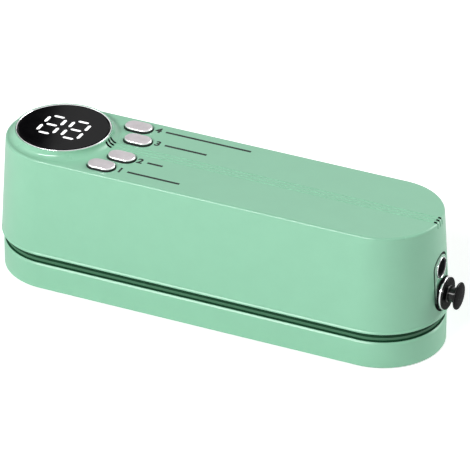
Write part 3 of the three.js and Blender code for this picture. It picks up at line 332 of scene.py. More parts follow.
def mottle(material, size, colours, roughness):
    """Colour and roughness that wander between two values, over a size in millimetres."""
    place = add(material, "ShaderNodeTexCoord", {}).outputs["Object"]
    noise = add(material, "ShaderNodeTexNoise", {
        "Vector": place, "Scale": 1 / (size * MM), "Detail": 4.0, "Roughness": 0.6})
    ramp = add(material, "ShaderNodeValToRGB", {"Fac": noise.outputs["Fac"]})
    for stop, level, colour in zip(ramp.color_ramp.elements, (0.35, 0.65), colours):
        stop.position, stop.color = level, linear(colour)
    drive(material, "Base Color", ramp.outputs["Color"])
    spread = add(material, "ShaderNodeMapRange", {
        "Value": noise.outputs["Fac"], "From Min": 0.35, "From Max": 0.65,
        "To Min": roughness[0], "To Max": roughness[1]})
    drive(material, "Roughness", spread.outputs["Result"])


# %% [markdown]
# ### Mint ABS
# The shells are injection-moulded ABS, coloured right through in mint green. The mould is
# lightly spark-eroded, with a grain of about 0.3 mm, so the gloss is soft and wide. Very
# small changes of colour stand for flow in the mould.

# %% Mint ABS for the shells
mint_abs = finish("mint_abs_eroded", "#92CDAD", 0.32, IOR=1.5)
grain(mint_abs, 0.3, 0.004)
mottle(mint_abs, 9, ("#91CCAC", "#93CEAE"), (0.3, 0.34))

# The front top edge, the back of the flare and the end plate come from polished parts of the
# mould, and catch more light.
polished_mint_abs = finish("mint_abs_polished", "#92CDAD", 0.18, IOR=1.5)
mottle(polished_mint_abs, 9, ("#91CCAC", "#93CEAE"), (0.15, 0.21))

# The rim round the end plate is polished too, in a paler mint: a painted highlight along the
# plate's edge.
mint_highlight_abs = finish("mint_abs_painted_highlight", "#B4DCC6", 0.25, IOR=1.5)
mottle(mint_highlight_abs, 9, ("#B2DAC4", "#B6DEC8"), (0.22, 0.28))

# The tray is a darker green than the shells: painted shade, which keeps the groove round the
# appliance dark and darkens the whole tray.
tray_shade_abs = finish("painted_shade_green_abs", "#447859", 0.45, IOR=1.5)
grain(tray_shade_abs, 0.3, 0.006)
mottle(tray_shade_abs, 6, ("#427657", "#467A5B"), (0.42, 0.5))

# %% [markdown]
# ### Black rubber and black plastics
# The port's plug is nitrile rubber from a polished mould, so it is black with a broad, oily
# gloss. The tray's lips, the grip pad and the gaskets are duller rubbers. The charging socket
# and the inner frames are glass-filled nylon, matt and slightly rough.

# %% Rubbers and dark plastics
plug_rubber = finish("black_rubber_polished", "#0E0F10", 0.25, Specular_IOR_Level=0.015)
grain(plug_rubber, 0.5, 0.004)
mottle(plug_rubber, 3, ("#0B0C0D", "#111213"), (0.2, 0.3))

# The plug's round sides are drawn along the mould as it opens, and shine more.
drawn_rubber = finish("black_rubber_gloss", "#0E0F10", 0.12, Specular_IOR_Level=0.3)
mottle(drawn_rubber, 3, ("#0B0C0D", "#111213"), (0.1, 0.15))

# The lips of the tray are rubber in a very dark green, dull enough to stay dark: painted shade
# for the dark lines at the top and at the foot of the groove.
lip_shade_rubber = finish("painted_shade_dark_green_rubber", "#17412A", 0.4, Specular_IOR_Level=0.1)
grain(lip_shade_rubber, 0.5, 0.004)
mottle(lip_shade_rubber, 3, ("#153D27", "#19452D"), (0.36, 0.44))

pad_rubber = finish("grey_rubber_matt", "#3A3D40", 0.75, IOR=1.52)
grain(pad_rubber, 0.4, 0.02)
mottle(pad_rubber, 5, ("#35383B", "#404346"), (0.68, 0.8))

gasket_foam = finish("dark_foam_rubber", "#232527", 0.85, IOR=1.4)
grain(gasket_foam, 0.35, 0.05)
mottle(gasket_foam, 2, ("#1E2022", "#2A2C2E"), (0.8, 0.92))

black_nylon = finish("black_nylon", "#1B1C1E", 0.5, IOR=1.53)
grain(black_nylon, 0.25, 0.01)
mottle(black_nylon, 3, ("#181A1B", "#202123"), (0.45, 0.58))

# %% [markdown]
# ### Display
# The window is acrylic, printed black from behind, so it looks like black glass: a clear
# sharp skin over a nearly black body. The bars are white light guides, which glow evenly.

# %% Black acrylic and lit bars
black_acrylic = finish("black_acrylic", "#0B0B0C", 0.06, Specular_IOR_Level=0.07)
mottle(black_acrylic, 9, ("#08080A", "#0C0C0E"), (0.05, 0.08))

lit_bars = finish("lit_white_bars", "#FFFFFF", 0.35, Emission_Strength=0.7)
frost_place = add(lit_bars, "ShaderNodeTexCoord", {}).outputs["Object"]
frost = add(lit_bars, "ShaderNodeTexNoise", {
    "Vector": frost_place, "Scale": 1 / (0.6 * MM), "Detail": 2.0})
frost_level = add(lit_bars, "ShaderNodeValToRGB", {"Fac": frost.outputs["Fac"]})
frost_level.color_ramp.elements[0].color = linear("#F4F6F8")
frost_level.color_ramp.elements[1].color = linear("#FFFFFF")
drive(lit_bars, "Emission Color", frost_level.outputs["Color"])

# %% [markdown]
# ### Metals
# The bezel and the port's bush are ABS plated with bright chrome over nickel, smooth but not
# a perfect mirror. The button caps have the satin version of it, a little warmer. Screws, pins
# and magnets are nickel-plated steel, whose fine turning marks show as a change of gloss.

# %% Chrome, satin caps and steel
bright_chrome = finish("bright_chrome", "#F2F2F3", 0.12, 1)
mottle(bright_chrome, 2, ("#EEEEF0", "#F6F6F7"), (0.09, 0.15))

# The caps' rounded edges are polished, and their tops are satin.
cap_rim = finish("polished_cap_rim", "#EDEAEC", 0.24, 1)
mottle(cap_rim, 2, ("#E9E6E8", "#F1EEF0"), (0.2, 0.28))

satin_cap = finish("satin_plated_cap", "#CEC8CB", 0.42, 0.7)
grain(satin_cap, 0.15, 0.003)
mottle(satin_cap, 4, ("#CAC4C7", "#D3CDD0"), (0.38, 0.48))

nickel_steel = finish("nickel_plated_steel", "#B9BBBE", 0.3, 1)
mottle(nickel_steel, 0.8, ("#B0B2B5", "#C4C6C8"), (0.24, 0.4))

# %% [markdown]
# ### What the jaws hold
# The press strip is red silicone sponge. The heater is a nickel-chrome ribbon on a bar of
# brown laminate, under a glass cloth coated with PTFE, whose threads lie 0.6 mm apart.

# %% Silicone, ribbon, laminate and coated glass cloth
silicone_sponge = finish("red_silicone_sponge", "#A8483A", 0.62, IOR=1.42)
grain(silicone_sponge, 0.4, 0.03)
mottle(silicone_sponge, 4, ("#A04234", "#B04E40"), (0.56, 0.68))

ribbon_metal = finish("nickel_chrome_ribbon", "#8F8A84", 0.38, 1)
mottle(ribbon_metal, 1.5, ("#86817B", "#9A958E"), (0.3, 0.46))

brown_laminate = finish("brown_laminate", "#B08A5A", 0.6, IOR=1.5)
grain(brown_laminate, 0.5, 0.01)
mottle(brown_laminate, 6, ("#A88252", "#B89262"), (0.55, 0.66))

# A Wave node multiplies its input by 20, so this scale puts one band on each thread.
THREAD = 0.6
glass_cloth = finish("ptfe_glass_cloth", "#A98A5C", 0.38, IOR=1.38)
cloth_place = add(glass_cloth, "ShaderNodeTexCoord", {}).outputs["Object"]
threads = []
for across in ("X", "Y"):
    wave = add(glass_cloth, "ShaderNodeTexWave", {
        "Vector": cloth_place, "Scale": 2 * math.pi / (20 * THREAD * MM), "Distortion": 0.3},
        bands_direction=across)
    threads.append(wave.outputs["Fac"])
weave = add(glass_cloth, "ShaderNodeMath", {0: threads[0], 1: threads[1]}, operation="MULTIPLY")
weave_bump = add(glass_cloth, "ShaderNodeBump", {
    "Height": weave.outputs["Value"], "Distance": 0.04 * MM, "Strength": 1.0})
drive(glass_cloth, "Normal", weave_bump.outputs["Normal"])
cloth_tone = add(glass_cloth, "ShaderNodeValToRGB", {"Fac": weave.outputs["Value"]})
cloth_tone.color_ramp.elements[0].color = linear("#957646")
cloth_tone.color_ramp.elements[1].color = linear("#B89A6C")
drive(glass_cloth, "Base Color", cloth_tone.outputs["Color"])

# %% [markdown]
# ## Fitting a piece to the model
# A dressed piece takes the place of its solid, moves with the same body and takes the finish
# that it is given. Faces that meet at a small angle are shaded as one surface, and big faces
# count for more there, so flat tops stay flat next to small rounded edges.

# %% Smoothing and fitting
def smooth(piece, angle):
    """Shade faces that meet at less than this angle as one surface."""
    activate(piece)
    bpy.ops.object.shade_smooth_by_angle(angle=math.radians(angle))
    weigh = piece.modifiers.new("weigh", "WEIGHTED_NORMAL")
    weigh.keep_sharp = True
    bpy.ops.object.modifier_apply(modifier=weigh.name)


def fit(piece, body, material, slot, *nodes, angle=32):
    """Shade, paint and seat a piece where its solid is."""
    smooth(piece, angle)
    piece.data.materials.clear()
    piece.data.materials.append(material)
    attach(piece, body)
    if nodes:
        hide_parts(*nodes)
    print(f"{piece.name}: {len(piece.data.polygons)} faces, on {body}")


def paint(piece, material, test):
    """Give the faces that pass the test another finish."""
    piece.data.materials.append(material)
    for face in piece.data.polygons:
        if test(face):
            face.material_index = len(piece.data.materials) - 1


# %% [markdown]
# ## Housing shell
# The housing is one moulding: a leaning wall with round ends, a flat top with a small round
# edge, and a hollow collar that flares up round the display. It starts as a disc drawn out to
# the body. A shallow round pocket in the top gives a ring of edges, and its floor is then
# raised and drawn in along a quarter of an ellipse, which makes the flare in one skin with
# the top. From the collar's rim the same face goes down again and makes the window's seat.
# A thin bead along the lower edge catches the light, as the real rim does.

# %% Body of the housing
def housing_body(name, inset=0, foot_z=RIM_Z, bead=()):
    """The outside of the housing, drawn in by an inset all round."""
    foot = bead or [(half_width_at(foot_z) - inset, foot_z)]
    head = round_head(half_width_at(TOP_Z) - inset, TOP_Z, TOP_EDGE, 6)
    return pull_apart(turned(name, [*foot, *head], SHELL_SIDES), ARC_X)


bead_top = RIM_Z + 2.5
rim_bead = [*round_foot(RIM_HALF, RIM_Z, 0.2, 3), (RIM_HALF, RIM_Z + 0.65),
            (RIM_HALF - 0.3, RIM_Z + 1.07), (half_width_at(bead_top), bead_top)]
housing = housing_body("moulded_housing", bead=rim_bead)

# %% Collar and seat of the display
POCKET = 0.4
FOOT_X, FOOT_RADIUS = -72.8, 23.55
RIM_RADIUS, RISE = 20.7, LENS_TOP_Z - TOP_Z
pocket = slab("pocket", FOOT_RADIUS, (TOP_Z - POCKET, TOP_Z + 1), 0, (FOOT_X, 0), SHELL_SIDES)
combine(housing, pocket)

flare = []
for i in range(1, 13):
    angle = math.pi / 2 * i / 12
    radius = FOOT_RADIUS - (FOOT_RADIUS - RIM_RADIUS) * math.sin(angle)
    x = FOOT_X + (DISPLAY_X - FOOT_X) * math.sin(angle)
    flare.append((x, radius, TOP_Z + (RISE - 0.12) * (1 - math.cos(angle))))
seat = [(RIM_RADIUS - 0.12, LENS_TOP_Z), (20.28, LENS_TOP_Z), (20.2, LENS_TOP_Z - 0.08),
        (20.2, LEDGE_Z), (15.5, LEDGE_Z), (15.5, INNER_TOP_Z - 1)]
path = [*flare, *[(DISPLAY_X, radius, z) for radius, z in seat]]
print("flare rises", round(RISE, 2), "mm in", len(flare), "steps")

activate(housing)
bpy.ops.object.mode_set(mode="EDIT")
select(housing, "FACE", lambda face: face.normal.z > 0.9
       and face.calc_center_median().z < (TOP_Z - POCKET / 2) * MM
       and face.calc_center_median().z > (TOP_Z - 2 * POCKET) * MM)
x, radius, z = FOOT_X, FOOT_RADIUS, TOP_Z - POCKET
for i, (next_x, next_radius, next_z) in enumerate(path):
    move = ((next_x - x) * MM, 0, (next_z - z) * MM)
    if i == 0:
        bpy.ops.transform.translate(value=move)
    else:
        bpy.ops.mesh.extrude_region_move(TRANSFORM_OT_translate={"value": move})
    grow = next_radius / radius
    bpy.ops.transform.resize(
        value=(grow, grow, 1), center_override=(next_x * MM, 0, next_z * MM))
    x, radius, z = next_x, next_radius, next_z
bpy.ops.object.mode_set(mode="OBJECT")

# %% [markdown]
# Now the shell is hollowed. The cutter is a smaller body, and a thick patch is left standing
# at the end that carries the socket, so the cutter loses that patch first. The recess for
# the end plate follows the round wall, so its cutter is an upright slot with a smaller
# body taken out. Holes for the buttons have a small bevel that their cutters bring along.

# %% Hollow, end recess and holes
def upright_slot(name, half_width, z, x):
    """An upright slab with round ends, its thickness along X."""
    reach = (z[1] - z[0]) / 2 - half_width
    piece = slab(name, half_width, (0, x[1] - x[0]), reach, sides=64)
    return lay_along_x(piece, (x[0], 0, (z[0] + z[1]) / 2))


def plate_slot(name, inset, x):
    """The end plate's outline as a slab, drawn in by an inset all round."""
    return upright_slot(name, PLATE_HALF - inset, (PLATE_Z[0] + inset, PLATE_Z[1] - inset), x)


RECESS_DEPTH, PLATE_DEPTH = 1.5, 1.2
hollow = pull_apart(turned("hollow", [
    (25.7, RIM_Z - 2), (25.7, RIM_Z), (half_width_at(INNER_TOP_Z) - 1.8, INNER_TOP_Z)]), ARC_X)
combine(hollow, upright_slot("patch", 8.1, (15, 47.3), (94.1, 105)))
combine(housing, hollow)

recess = plate_slot("recess", -RECESS_GAP, (94.4, 102))
combine(housing, combine(recess, housing_body("behind", RECESS_DEPTH, RIM_Z - 2)))
combine(housing, bar_x("socket_well", 4.25, (92, 102), 0, SOCKET_Z, sides=48))
combine(housing, bar_x("port_hole", 4.15, (92, 102), 0, PORT_Z, sides=48))
for x, y in BUTTONS:
    cutter = turned("button_hole", [
        (4.15, INNER_TOP_Z - 2), (4.15, TOP_Z - 0.1), (4.5, TOP_Z + 0.25)], 64, (x, y))
    combine(housing, pull_apart(cutter, BUTTON_REACH, x))

# %% [markdown]
# Three fine lines run from the collar down its flare, along the top and over the far edge.
# Their cutters are tubes on a path that lies in the surface, so each line is a half-round
# groove of one depth. The paths are curves, because a tube on a curve turns with it.

# %% Fine lines along the top
def line_path(y):
    """Places along one fine line: down the flare, along the top, over the far edge."""
    down = [(x + math.sqrt(radius ** 2 - y ** 2), z) for x, radius, z in reversed(flare)]
    top_end = ARC_X + math.sqrt((half_width_at(TOP_Z) - TOP_EDGE) ** 2 - y ** 2)
    over = []
    for i in range(9):
        angle = math.pi / 2 * i / 8
        over.append((top_end + TOP_EDGE * math.sin(angle),
                     TOP_Z - TOP_EDGE + TOP_EDGE * math.cos(angle)))
    return down, [(top_end - 0.6, TOP_Z), *over, (over[-1][0] + 0.12, over[-1][1] - 1.6)]


def tube(name, places, y, radius):
    """A round tube along places in the plane of one fine line."""
    wire = bpy.data.curves.new(name, "CURVE")
    wire.dimensions = "3D"
    wire.bevel_depth = radius * MM
    wire.bevel_resolution = 3
    wire.use_fill_caps = True
    spline = wire.splines.new("POLY")
    spline.points.add(len(places) - 1)
    for point, (x, z) in zip(spline.points, places):
        point.co = (x * MM, y * MM, z * MM, 1)
    piece = bpy.data.objects.new(name, wire)
    bpy.context.collection.objects.link(piece)
    activate(piece)
    bpy.ops.object.convert(target="MESH")
    return settle(bpy.context.object, name)


LINES = (-2.1, 0, 2.1)
for y in LINES:
    down, over = line_path(y)
    combine(housing, tube("line", [*down, *over], y, 0.34))

# %% [markdown]
# On the flare and on the far edge each line is filled with a black rubber strip, painted
# shade that makes the grooves read dark there. The strips are the same tubes, a little wider,
# cut to those stretches.

# %% Black strips of painted shade in the lines
shade_strips = []
for y in LINES:
    down, over = line_path(y)
    shade_strips += [tube("strip", down[2:-1], y, 0.42), tube("strip", over[:5], y, 0.42)]
fit(joined("painted_shade_line_strips", shade_strips), "housing", plug_rubber, "dark_rubber")

# %% [markdown]
# The recess gets a narrow round edge. Its edges are found by their place: they lie on the
# slot's outline, and on the outer skin and not in the recess. The faces that come from the
# polished parts of the mould are found by their place too.

# %% Edge of the recess, and polish
def outer_recess_edge(edge):
    """Whether an edge lies on the recess's outline and on the outside of the round wall."""
    for corner in edge.verts:
        x, y, z = corner.co / MM
        nearest = min(max(z, PLATE_Z[0] + PLATE_HALF), PLATE_Z[1] - PLATE_HALF)
        off_outline = abs(math.hypot(y, z - nearest) - PLATE_HALF - RECESS_GAP)
        off_wall = abs(math.hypot(x - ARC_X, y) - half_width_at(z))
        if off_outline > 0.02 or off_wall > 0.03:
            return False
    return True


def polished(face):
    """Whether a face is on the back of the flare or on the front top edge."""
    x, y, z = face.center / MM
    return (z > TOP_Z + 0.02 and y > 0
            or 0.1 < face.normal.z < 0.97 and z > TOP_Z - TOP_EDGE and y < -18)


soften(housing, 0.22, outer_recess_edge, 2)
fit(housing, "housing", mint_abs, "mint_plastic", "housing_shell")
paint(housing, polished_mint_abs, polished)

# %% [markdown]
# ## End plate
# The inlaid plate is the same mint ABS, moulded apart and pressed in. It is what a slot and
# the outer skin share, 1.2 mm thick. A narrow frame in a paler mint, which stands a hair
# proud, runs round it as a painted highlight, and a plated ring lines the socket's hole. Both
# stand out next to the black seal, which is painted shade.

# %% End plate, its frame and the socket's ring
def in_end_wall(piece, front, back):
    """Keep what lies in the round end wall, between two insets from its outside."""
    combine(piece, housing_body("skin", front), "INTERSECT")
    return combine(piece, housing_body("behind", back, RIM_Z - 2))


end_plate = in_end_wall(plate_slot("mint_end_plate", 0.46, (94.1, 101)), 0, PLATE_DEPTH)
combine(end_plate, bar_x("socket_hole", 4.65, (94, 101), 0, SOCKET_Z, sides=64))
combine(end_plate, bar_x("port_hole", 4.3, (94, 101), 0, PORT_Z, sides=48))
fit(end_plate, "housing", polished_mint_abs, "mint_plastic", "end_plate")

# The frame's paler mint is a painted highlight along the plate's edge.
highlight_frame_ring = plate_slot("painted_highlight_plate_frame", 0, (94.1, 102))
combine(highlight_frame_ring, plate_slot("core", 0.44, (94, 103)))
fit(in_end_wall(highlight_frame_ring, -0.15, PLATE_DEPTH), "housing", mint_highlight_abs, "mint_plastic")

ring = turned("chrome_socket_ring", [(4.6, 0), *round_head(4.6, 1.36, 0.15, 3)], 64)
combine(ring, turned("bore", [(4.3, -1), (4.3, 1.26), (4.45, 1.41)], 64))
fit(lay_along_x(ring, (97.4, 0, SOCKET_Z)), "housing", bright_chrome, "bright_metal")

# %% [markdown]
# A thin black ring lies in the gap round the plate, painted shade that makes the gap read
# dark. It is a ring cut from two slots, kept between the floor of the recess and a skin that
# is set back a little from the outside.

# %% Painted shade in the gap round the end plate
gap_shade_ring = plate_slot("painted_shade_plate_ring", 0.03 - RECESS_GAP, (94.2, 101))
combine(gap_shade_ring, plate_slot("core", -0.03, (94, 102)))
fit(in_end_wall(gap_shade_ring, 0.35, RECESS_DEPTH), "housing", plug_rubber, "dark_rubber")

# %% [markdown]
# ## Charging socket
# Behind the hole sits a black block with a round snout, a stepped bore and a centre pin. From
# outside only the bore's mouth shows, dark inside the plated ring.

# %% Charging socket and its pin
jack = block("charging_socket_body", *corners("charge_jack"), 0.3)
combine(jack, bar_x("snout", 4.22, (92, 98.5), 0, SOCKET_Z, 0.1, 64), "UNION")
jack_bore = turned("bore", [(2.8, 0), (2.8, 7.7), (3.6, 8.5), (3.6, 13)], 48)
combine(jack, lay_along_x(jack_bore, (85.8, 0, SOCKET_Z)))
fit(jack, "housing", black_nylon, "black_plastic", "charge_jack")
jack_pin = bar_x("charging_socket_pin", 0.9, (85.6, 93.4), 0, SOCKET_Z, 0.35, 24)
fit(jack_pin, "housing", nickel_steel, "steel")

# %% [markdown]
# ## Air port and its plug
# The port is a plated bush: a flange outside the wall, a short hub and a tube through it. It
# is drawn from its inner end outwards, and the bore is then cut. A black washer under the
# flange is painted shade, the dark crescent beside the ring; it follows the round wall, so
# the wall's own shape is cut from it.

# %% Port bush, and its washer of painted shade
bush_steps = [(1.6, 0), (1.6, 3), (4, 3), (4, 14.4), (5.2, 14.4), (5.2, 14.8),
              *round_foot(7, 14.8, 0.25, 3), *round_head(7, 15.7, 0.25, 4)]
bush = lay_along_x(turned("chrome_port_bush", bush_steps, 64), (PORT_X, 0, PORT_Z))
combine(bush, bar_x("bore", 2.6, (PORT_X + 3.8, PORT_X + 17), 0, PORT_Z, sides=48))
combine(bush, bar_x("airway", 1, (PORT_X - 1, PORT_X + 5), 0, PORT_Z, sides=24))
fit(bush, "housing", bright_chrome, "bright_metal", "port_bush")
port_shade_washer = turned("painted_shade_port_washer", [
    (7.15, 14.044), *round_head(7.15, 14.784, 0.15, 2)], 64)
combine(port_shade_washer, slab("bore", 5.22, (14, 16), sides=64))
lay_along_x(port_shade_washer, (PORT_X, 0, PORT_Z))
combine(port_shade_washer, housing_body("skin", -0.17))
fit(port_shade_washer, "housing", plug_rubber, "dark_rubber")

# %% [markdown]
# The plug is one rubber piece to pinch and pull: a stem that seals the bore, a flange that
# covers the bush, a waist, and a round knob with a flat face. Its flat faces are dull from the
# mould, and its round ones were drawn along it and shine more.

# %% Rubber plug
plug_steps = [(1.7, 0), (2.3, 0.6), (2.3, 8), *round_foot(6.95, 8, 0.2, 3),
              *round_head(6.95, 8.7, 0.3, 4), (3.9, 8.7), (3.5, 8.814), (3.26, 9.114),
              (3.2, 9.464), (3.2, 12.264), (3.35, 12.564), (3.7, 12.7),
              *round_foot(5.85, 12.7, 0.4, 4), *round_head(5.85, 13.6, 0.45, 4),
              (5.2, 13.65), (3.6, 13.8), (1.8, 13.88), (0.4, 13.9)]
plug = lay_along_x(turned("rubber_port_plug", plug_steps, 64), (PLUG_X, 0, PORT_Z))
fit(plug, "port_plug", plug_rubber, "dark_rubber", "port_plug", angle=40)
paint(plug, drawn_rubber, lambda face: abs(face.normal.x) < 0.8)

# %% [markdown]
# ## Display
# The bezel is a thin plated ring that stands a hair above the window. The window is a disc
# with a step round it, which reads as a black line inside the ring. Each bar of the two
# figures is a light guide that fills its own slot in the disc.

# %% Bezel and window
bezel = turned("chrome_bezel", [*round_foot(20.05, 61.9, 0.1, 2), *round_head(20.05, 64, 0.2, 4)],
               SHELL_SIDES, (DISPLAY_X, 0))
combine(bezel, turned("bore", [(19.55, 61), (19.55, 63.82), (19.73, 64), (20.2, 64.2)],
                      SHELL_SIDES, (DISPLAY_X, 0)))
fit(bezel, "housing", bright_chrome, "bright_metal", "display_bezel")

window = turned("black_window", [
    (19.4, 61.9), (19.4, 63), (18.9, 63.15), *round_head(18.9, LENS_TOP_Z, 0.12, 3)],
    SHELL_SIDES, (DISPLAY_X, 0))

# %% [markdown]
# A figure has seven bars: three across and four along. Each bar is a block whose four upright
# edges are cut off at 45 degrees, which leaves its ends pointed. The slot cutters are the same
# shape, a little larger all round, so a thin dark line shows between neighbours.

# %% Bars of the two figures
FIGURES = {"tens": -78.83, "units": -67.57}
BAR_PLACES = [(0, -7.35, True), (0, 0, True), (0, 7.35, True), (-3.73, -3.68, False),
              (3.73, -3.68, False), (-3.73, 3.68, False), (3.73, 3.68, False)]


def bar(name, place, crosswise, z, extra=0.0):
    """One pointed bar of a figure, larger all round by an extra."""
    half_length, half_width = 2.5 + extra, 0.68 + extra
    piece = block(name, (-half_length, -half_width, z[0]), (half_length, half_width, z[1]))
    soften(piece, half_width - 0.02,
           lambda edge: abs(edge.verts[0].co.z - edge.verts[1].co.z) > MM, 1)
    piece.rotation_euler = (0, 0, 0 if crosswise else math.pi / 2)
    piece.location = (place[0] * MM, place[1] * MM, 0)
    return settle(piece, name)


for figure, x in FIGURES.items():
    for across, along, crosswise in BAR_PLACES:
        combine(window, bar("slot", (x + across, along), crosswise, (61, 65), 0.05))
    bars = joined(f"lit_bars_{figure}", [
        bar("bar", (x + across, along), crosswise, (60, 63.85))
        for across, along, crosswise in BAR_PLACES])
    fit(bars, "housing", lit_bars, "lit_white", f"digit_{figure}")
    case = block(f"figure_case_{figure}", (x - 5.23, -8.85, 52.1), (x + 5.23, 8.85, 59.9), 0.3)
    fit(case, "housing", black_nylon, "black_plastic")
fit(window, "housing", black_acrylic, "black_glass", "display_lens")

# %% [markdown]
# ## Buttons
# Each cap is a pill with a rounded upper edge, a flange under the top that keeps it from
# falling out, and a short stem over its switch. One is modelled and copied to the four
# places, each copy with a mesh of its own. Its edge is brighter than its top, and the lower
# band of its side is black: painted shade, the dark outline where the cap's shadow falls.

# %% Four button caps
SHADE_BAND_TOP = 61.3
cap_steps = [(4.3, 57.8), (4.3, 58.4), (3.7, 58.4), *round_head(3.7, 62.06, 0.62, 6),
             (2.1, 62.12), (0.9, 62.19)]
first_cap = pull_apart(turned("first_cap", cap_steps, 64), BUTTON_REACH)
stem = turned("stem", [(1.3, 56.5), (1.5, 56.7), (1.5, 58.1)], 32)
combine(first_cap, stem, "UNION")


def copy_of(piece, name, move):
    """A copy with its own mesh, moved by millimetres."""
    made = piece.copy()
    made.data = piece.data.copy()
    bpy.context.collection.objects.link(made)
    made.location = Vector(move) * MM
    return settle(made, name)


for i, (x, y) in enumerate(BUTTONS, 1):
    cap = copy_of(first_cap, f"satin_cap_{i}", (x, y, 0))
    fit(cap, f"button_{i}", satin_cap, "bright_metal", f"button_cap_{i}")
    paint(cap, cap_rim, lambda face: face.normal.z <= 0.9)
    # The side below this height is black: painted shade under the cap's edge.
    paint(cap, black_nylon,
          lambda face: face.normal.z <= 0.9 and face.center.z <= SHADE_BAND_TOP * MM)
bpy.data.objects.remove(first_cap)

# %% [markdown]
# ## Base
# The base is a shallow tub with a rounded foot and a rounded upper edge, drawn out in one
# go: outside up, over the edge, and down inside to the floor. The grip pad sits in a recess
# under it. At the back stand the hinge's knuckles, each grown onto the tub with its web.

# %% Base tub
base = pull_apart(turned("moulded_base", [
    (21.9, 1.5), (21.9, 0.45), (22.05, 0.3), *round_foot(26.6, 0.3, 0.5), (26.6, 11.6),
    (26.18, 12.18), (26, 12.3), (24.95, 12.3), (24.8, 12.15), (24.8, 3.9), (24.6, 3.7)],
    SHELL_SIDES), ARC_X)
for place in TRAY_SCREWS:
    combine(base, slab("screw_seat", 2.5, (0, 2.8), 0, place, 32))
    combine(base, slab("screw_hole", 1.4, (0, 6), 0, place, 32))


def knuckle(x, web_y, web_z):
    """A hinge knuckle: a bar along X with a web that carries it."""
    piece = bar_x("knuckle", 1.9, x, HINGE_Y, HINGE_Z, 0.15, 48)
    web = block("web", (x[0], web_y[0], web_z[0]), (x[1], web_y[1], web_z[1]), 0.1)
    return combine(piece, web, "UNION")


for middle in HINGES:
    for x in ((middle - 8, middle - 3.3), (middle + 3.3, middle + 8)):
        combine(base, knuckle(x, (24.85, 26.45), (11.3, 14.5)), "UNION")
    combine(base, bar_x("hinge_bore", 1.05, (middle - 9, middle + 9), HINGE_Y, HINGE_Z, sides=32))
fit(base, "base", mint_abs, "mint_plastic", "base_shell")

# %% [markdown]
# The pad is rubber, with three grooves round it that let it grip a wet table. A groove is
# what is left when a smaller slab is taken out of a larger one.

# %% Grip pad
def groove(name, outer, inner, z, reach=ARC_X, middle=(0, 0)):
    """A cutter for a groove that follows the outline."""
    return combine(slab(name, outer, z, reach, middle),
                   slab("core", inner, (z[0] - 1, z[1] + 1), reach, middle))


pad = pull_apart(turned("ribbed_grip_pad", [
    *round_foot(21.6, 0, 0.3, 3), (21.6, 1.2)]), ARC_X)
for outer in (19.2, 15.2, 11.2):
    combine(pad, groove("pad_groove", outer, outer - 1.4, (-1, 0.45)))
fit(pad, "base", pad_rubber, "grey_rubber", "grip_pad")

# %% [markdown]
# ## Tray
# The tray closes the tub and carries what the jaw presses on. Its wall is the neck in the
# groove, coloured a darker green than the shells as painted shade, and the dark rubber lip
# on its head and on its foot is painted shade too. Inside the deck lie the vacuum trough
# with the gasket's groove round it, the channel of the press strip, and two pockets for
# magnets.

# %% Vacuum tray
tray = pull_apart(turned("moulded_tray", [
    (22.9, 10.8), (22.9, 4), (24.5, 4), (24.5, 12.4), *round_foot(26.15, 12.4, 0.15, 2),
    (26.15, 12.75), (25.4, 12.95), (25.4, 14.2), (25.65, 14.3),
    *round_head(25.65, NECK_TOP_Z, 0.25, 3), (22.9, NECK_TOP_Z), (22.9, DECK_Z)],
    SHELL_SIDES), ARC_X)
combine(tray, slab("trough_shell", 10.4, (4.8, 12), TROUGH_X, (0, TROUGH_Y), 64), "UNION")
for place in TRAY_SCREWS:
    combine(tray, slab("boss", 3.2, (4, 12), 0, place, 32), "UNION")
    combine(tray, slab("screw_bore", 1.1, (3, 9.4), 0, place, 24))
trough = turned("trough", [(7.8, 6.2), (8.6, 6.5), (9, 7.4), (9, 15)], 64, (0, TROUGH_Y))
combine(tray, pull_apart(trough, TROUGH_X))
combine(tray, groove("gasket_groove", *GASKET_GROOVE, (12.5, 15), TROUGH_X, (0, TROUGH_Y)))
combine(tray, block("channel", (-SEAL_X - 0.15, SEAL_Y - 3.15, 12.5),
                    (SEAL_X + 0.15, SEAL_Y + 3.15, 15)))
for place in MAGNETS:
    combine(tray, slab("magnet_pocket", 3.15, (11.9, 15), 0, place, 48))
for middle in HINGES:
    combine(tray, block("hinge_notch", (middle - 8.3, 23, 12.3), (middle + 8.3, 27, 17)))
# The tray's darker green is painted shade for the groove.
fit(tray, "base", tray_shade_abs, "mint_plastic", "vacuum_tray")


def on_shade_lip(face):
    """Whether a face is on the outside of one of the tray's two lips, which carry painted shade.
    """
    x, y, z = face.center / MM
    outside = math.hypot(max(abs(x) - ARC_X, 0), y) > 24.6
    return outside and (12.3 < z < 12.9 or z > 14.22)


# The lips take the very dark green: painted shade at the top and foot of the groove.
paint(tray, lip_shade_rubber, on_shade_lip)

# %% [markdown]
# ## Gaskets, press strip and heater
# Both gaskets are foam rubber rings with a rounded lip, so that they give when the jaw
# closes. The heater is a stack: laminate bar, ribbon, and the coated cloth that keeps melted
# film off the ribbon.

# %% Gaskets
def gasket(name, z, lip_up):
    """A ring round the trough, its free edges rounded."""
    outer = [(13.4, z[0]), *round_head(13.4, z[1], 0.9, 4)]
    core = [(10.4, z[0] - 1), (10.4, z[1] - 0.9), (10.66, z[1] - 0.27), (11.3, z[1]),
            (12.3, z[1] + 1)]
    if not lip_up:
        outer = [(radius, z[0] + z[1] - height) for radius, height in outer]
        core = [(radius, z[0] + z[1] - height) for radius, height in core]
    ring = pull_apart(turned(name, outer, 96, (0, TROUGH_Y)), TROUGH_X)
    return combine(ring, pull_apart(turned("core", core, 96, (0, TROUGH_Y)), TROUGH_X))


